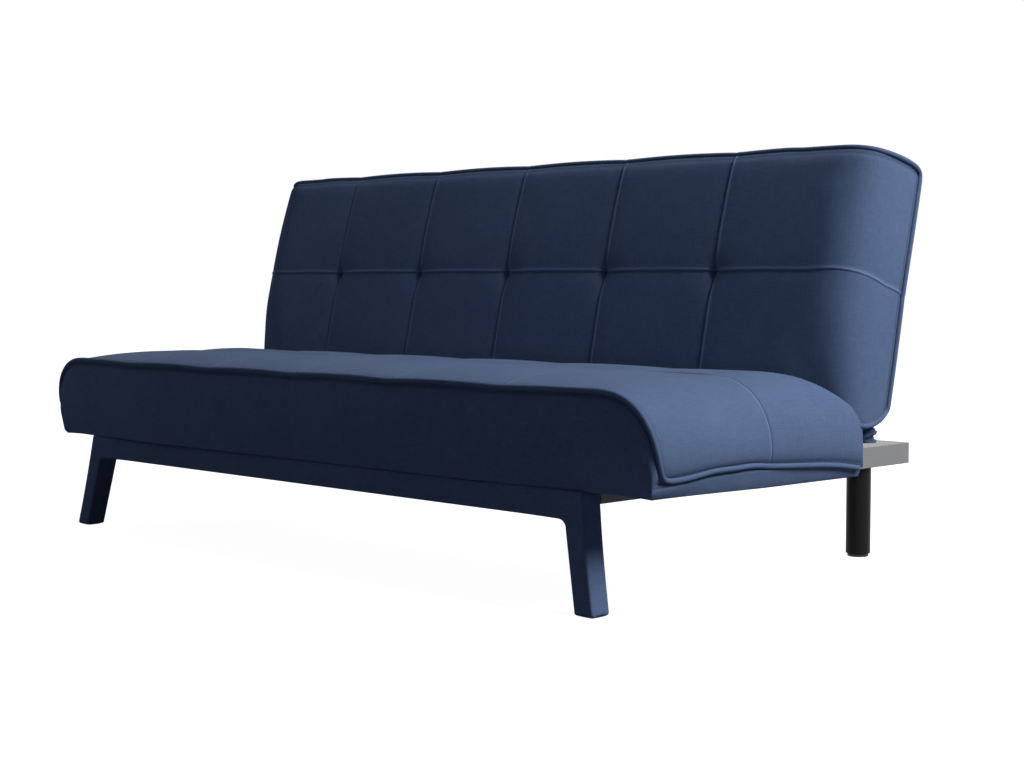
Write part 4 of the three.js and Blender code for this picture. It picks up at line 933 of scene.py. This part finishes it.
def eased_section(ease):
    """A rectangle with round corners as shares of its two sides and lengths added to them, once round, and
    how near each point is to the middle of its side."""
    swing = np.linspace(0, np.pi / 2, 5)
    corners = [(0, 0), (1, 0), (1, 1), (0, 1)]
    shares, extra, mid = [], [], []
    for k, (s, t) in enumerate(corners):
        angle = np.pi + k * np.pi / 2 + swing
        inward, (next_s, next_t) = np.array([1 - 2 * s, 1 - 2 * t]), corners[(k + 1) % 4]
        shares += [(s, t)] * 5 + [(s + f * (next_s - s), t + f * (next_t - t)) for f in (0.3, 0.5, 0.7)]
        extra += list(ease * (inward + np.stack([np.cos(angle), np.sin(angle)], -1))) + [(0.0, 0.0)] * 3
        mid += [0.0] * 5 + [0.8, 1.0, 0.8]
    return np.array(shares, float), np.array(extra), np.array(mid)


inner, outer = (np.concatenate([half * (-1.0, 1.0), half[-2::-1]]) for half in leg_frame_outlines())
section, extra, mid = eased_section(EDGE_EASE)
span = np.linalg.norm(outer - inner, axis=1)
# The foot of the cloth draws in on a quarter round, and the hem rises a little between its corners
drawn = HEM_DRAW * quarter_round(ramp(outer[:, 1] - HEM_FOOT, 0, HEM_ROUND))
across = drawn[:, None] + section[None, :, 0] * (span - 2 * drawn)[:, None] + extra[None, :, 0]
plane = inner[:, None] + (outer - inner)[:, None] / span[:, None, None] * across[..., None]
leaning = (1 - plane[..., 1] / FRAME_TOP) * ramp(np.abs(plane[..., 0]), LEG_FROM, LEG_WHOLE)
front = HEAD_FRONT - FOOT_FORWARD * leaning
depth = HEAD_DEPTH + (FOOT_DEPTH - HEAD_DEPTH) * leaning
through = front + drawn[:, None] + section[None, :, 1] * (depth - 2 * drawn[:, None]) + extra[None, :, 1]
rise = HEM_ARCH * mid * ramp(plane[..., 1], HEM_ARCH_TOP, 0) ** 2
rings = np.stack([plane[..., 0], through, plane[..., 1] + rise], -1)


def drawn_in(ring, steps):
    """Copies of the ring, one for each step: drawn in by a length on each side, and level at a height."""
    low, high = ring[:, :2].min(axis=0), ring[:, :2].max(axis=0)
    middle, half = (low + high) / 2, (high - low) / 2
    inward = [middle + (ring[:, :2] - middle) * (1 - by / half) for by, _ in steps]
    return np.array([np.c_[place, np.full(len(ring), z)] for place, (_, z) in zip(inward, steps)])


# Each foot stands on a glide a little smaller than the leg, and the cloth is turned in round it
GLIDE_STEPS = (0.0032, 0.0), (0.0024, 0.0008), (0.0024, glide_high[2])
TURN_IN_STEPS = (0.0016, 0.0084), (0.0016, 0.0030), (0.0012, 0.0008)
glides = []
for hand, ring in (("left", rings[0]), ("right", rings[-1])):
    glide = closed_skin(f"foot_glide_{hand}", drawn_in(ring, GLIDE_STEPS))
    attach(glide, "base")
    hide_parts(f"front_glide_{hand}")
    glides.append(glide)
turned_left, turned_right = (drawn_in(ring, TURN_IN_STEPS) for ring in (rings[0], rings[-1]))
leg_frame = closed_skin("leg_frame_cover", np.concatenate([turned_left, rings, turned_right[::-1]]))
navy.on(leg_frame)
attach(leg_frame, "base")
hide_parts("front_apron", "front_leg_right", "front_leg_left")

# ------------------------ crease gusset
# A loose strip of the cover cloth closes the gap between seat and back. It is sewn under the seat's rear edge
# and to the front of the back's foot, hangs between them in folds, and is pulled up as the back goes down.
GUSSET_THICK = 0.0018
GUSSET_HALF = 0.910
GUSSET_DEPTH = 0.17
END_FROM, END_WHOLE, TURN_BACK = 0.790, 0.850, 0.868
BUNCH_Y, BUNCH_Z, BUNCH_DROP = 0.138, 0.304, 0.052
FOLD_OUT, FOLD_UP, BUNCH_FOLD = 0.0030, 0.0024, 0.0035
gusset_y = np.array([0.0215, 0.0170, 0.0125, 0.0090, 0.0080, 0.0120, 0.0205, 0.0265, 0.0285, 0.0300])
gusset_z = np.array([0.3480, 0.3300, 0.3120, 0.2960, 0.2810, 0.2735, 0.2728, 0.2780, 0.2890, 0.3025])
gusset_at = np.r_[0.0, np.cumsum(np.hypot(np.diff(gusset_y), np.diff(gusset_z)))]


def gusset_point(a, b):
    """The point at a across and share b from the seat to the back: along its run in Y and Z, in shallow
    leaning folds. Behind the seat's ends the strip is drawn back and bunched."""
    y, z = (np.interp(b, gusset_at / gusset_at[-1], run) for run in (gusset_y, gusset_z))
    end = softened(ramp(np.abs(a), END_FROM, END_WHOLE))
    back = np.clip(np.abs(a) - TURN_BACK, 0, 1)
    y = y + (BUNCH_Y - 0.004 * b - y) * end + 0.75 * back
    z = z + (BUNCH_Z - BUNCH_DROP * b - z) * end
    fold = (0.5 + 0.5 * np.sin(a * 47 + 2.1 * np.sin(a * 9) + b * 3)) * (1 - end) * np.sin(np.pi * b)
    crease = np.sin(a * 330 + 9 * np.sin(b * 11)) * np.sin(b * 23 + a * 90)
    y = y + FOLD_OUT * fold * np.clip(b - 0.4, 0, 1) + BUNCH_FOLD * end * crease
    z = z + FOLD_UP * fold
    x = np.abs(a) - 0.45 * back + 0.004 * end * np.sin(b * 19 + a * 120)
    return np.stack([np.sign(a) * x, y, z], -1)


def thin_sheet(name, points, flat, thickness):
    """A sheet of cloth over a grid of points, mapped by where each lies on the flat sheet, and made solid."""
    quads = quads_of(np.arange(len(points) * len(points[0])).reshape(points.shape[:2]))
    sheet = new_mesh(name, points.reshape(-1, 3), quads, flat.reshape(-1, 2)[quads].reshape(-1, 2))
    wall = sheet.modifiers.new("wall", "SOLIDIFY")
    wall.thickness, wall.offset = thickness, 0.0
    settled(sheet)
    return smooth(sheet)


a, b = np.meshgrid(np.linspace(-GUSSET_HALF, GUSSET_HALF, 360), np.linspace(0, 1, 40), indexing="ij")
gusset = thin_sheet("crease_cloth", gusset_point(a, b), np.stack([a, b * GUSSET_DEPTH], -1), GUSSET_THICK)
navy.on(gusset)
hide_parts("crease_gusset")
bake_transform(gusset)

# ------------------------ steel, timber and plastic of the frame
# Box-tube rails and plates in grey powder coat, turned black rear legs, zinc plated hardware, planed softwood
# inside the cushions, webbing across the back, and moulded glides.
grey = Finish("grey_powder_coat", "grey_steel", Specular_IOR_Level=0.06)
where = grey.place()
speck = grey.cloud(where, 900.0, 2.0)
paint = grey.mix(speck, (0.225, 0.225, 0.225), (0.255, 0.255, 0.255))
grey.vary(Base_Color=paint, Roughness=grey.cloud(where, 60.0) * 0.12 + 0.55)
grey.bump(speck, 0.00012, 0.6)


def clouded(finish, scales, colours, rough, strength):
    """Soft clouds, each of its own scale, in the colour, the roughness above its least, and the relief."""
    where = finish.place()
    tone, wear, relief = scales
    colour = finish.mix(finish.cloud(where, tone), *colours)
    least, more = rough
    finish.vary(Base_Color=colour, Roughness=finish.cloud(where, wear) * more + least)
    finish.bump(finish.cloud(where, relief, 2.0), 0.0001, strength)


black = Finish("black_powder_coat", "black_steel", Specular_IOR_Level=0.08)
BLACKS = (0.008, 0.008, 0.008), (0.013, 0.013, 0.0135)
clouded(black, (40.0, 80.0, 1100.0), BLACKS, (0.36, 0.1), 0.5)

zinc = Finish("zinc_plate", "zinc_steel", Metallic=0.9)
clouded(zinc, (70.0, 150.0, 700.0), ((0.40, 0.40, 0.41), (0.56, 0.56, 0.55)), (0.28, 0.2), 0.3)

plastic = Finish("moulded_plastic", "black_plastic", IOR=1.46)
PLASTICS = (0.012, 0.012, 0.013), (0.022, 0.022, 0.023)
clouded(plastic, (30.0, 400.0, 1500.0), PLASTICS, (0.45, 0.2), 0.5)
plastic.on(*glides)

wood = Finish("planed_softwood", "timber", Specular_IOR_Level=0.3)
stretched = wood.node("Mapping", None, {0: wood.place(), 3: (1.5, 26.0, 26.0)})
grain = wood.cloud(stretched, 3.0, 4.0)
growth = (grain * 38.0).sine() * 0.5 + 0.5
planed = wood.mix(growth * 0.7 + grain * 0.3, (0.46, 0.31, 0.17), (0.60, 0.44, 0.26))
wood.vary(Base_Color=planed, Roughness=growth * 0.1 + 0.62)
wood.bump(growth, 0.0002, 0.4)

# The webbing straps run from stile to stile behind the foam
RIB, PICK = 0.0022, 0.0012
STRAP_HALF, STRAP_HALF_THICK, STRAP_SLACK = 0.0248, 0.0012, 0.0010
band = Finish("elastic_webbing", "webbing", Roughness=0.85, Sheen_Weight=0.1)
wide, _, high = band.parts(band.place())
woven = (wide * (np.pi / RIB)).sine().size() * 0.6 + (high * (np.pi / PICK)).sine().size() * 0.4
band.vary(Base_Color=band.mix(woven, (0.012, 0.012, 0.013), (0.035, 0.035, 0.038)))
band.bump(woven, 0.0004, 0.8)
a, b, c, quads, kind = block_skin(np.linspace(-1, 1, 41), np.linspace(-1, 1, 9), np.array([-1.0, 1.0]))
for node in [f"back_strap_{k}" for k in (1, 2, 3, 4)]:
    low, high = (np.array(p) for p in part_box(node))
    half_length = (high[0] - low[0]) / 2
    rear, up = (low[1] + high[1]) / 2 - BACK_AXIS_Y, (low[2] + high[2]) / 2 - BACK_AXIS_Z
    u, v = rear * np.sin(LEAN) + up * np.cos(LEAN), rear * np.cos(LEAN) - up * np.sin(LEAN)
    behind = v - STRAP_HALF_THICK * c + STRAP_SLACK * (1 - a**2)
    points = on_back(a * half_length, u + STRAP_HALF * b, behind)
    uv = panel_uv(a * half_length, b, c, quads, kind, STRAP_HALF, STRAP_HALF_THICK)
    strap = new_mesh(node + "_webbing", points, quads, uv)
    band.on(strap)
    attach(strap, "back")
    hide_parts(node)

# The dust cloth is stapled under the seat's frame, and sags a little between its edges
DUST_THICK, DUST_BELOW, DUST_SAG = 0.0008, 0.0007, 0.006
felt = Finish("dust_cloth", "black_cloth", Roughness=0.95, Sheen_Weight=0.1)
fibre = felt.cloud(felt.place(), 500.0, 3.0, 0.7)
felt.vary(Base_Color=felt.mix(fibre, (0.010, 0.010, 0.011), (0.030, 0.030, 0.032)))
felt.bump(fibre, 0.0003, 0.7)
low, high = (np.array(p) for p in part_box("seat_dust_cloth"))
a, b = np.meshgrid(np.linspace(-1, 1, 81), np.linspace(0, 1, 41), indexing="ij")
slack = 1 + 0.25 * np.sin(a * 14 + 2 * b) * np.sin(9 * b)
sag = DUST_SAG * (1 - a**4) * np.sin(np.pi * b) ** 0.6 * slack
points = np.stack([a * high[0], low[1] + (high[1] - low[1]) * b, high[2] - DUST_BELOW - sag], -1)
dust = thin_sheet("dust_cloth", points, points[..., :2], DUST_THICK)
felt.on(dust)
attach(dust, "seat")
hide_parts("seat_dust_cloth")
2 * high[0]
high[1] - low[1]

# The frame's own pieces take the finish of their slot, and their edges are broken a little
FINISHES = {f.slot: f for f in (navy, grey, black, zinc, wood, plastic, band, felt)}
EDGE = {
    "grey_steel": 0.0012,
    "black_steel": 0.0012,
    "zinc_steel": 0.0005,
    "black_plastic": 0.001,
    "timber": 0.0025,
}
for part in frame["record"]["subparts"]:
    shown, slot = nodes[part["node"]], part["material_slot"]
    FINISHES[slot].on(shown)
    if slot in EDGE:
        shown.modifiers.new("joined", "WELD").merge_threshold = 0.00002
        eased = shown.modifiers.new("eased", "BEVEL")
        eased.width, eased.segments, eased.limit_method = EDGE[slot], 2, "ANGLE"
        eased.angle_limit = radians(35)
        eased.harden_normals = False
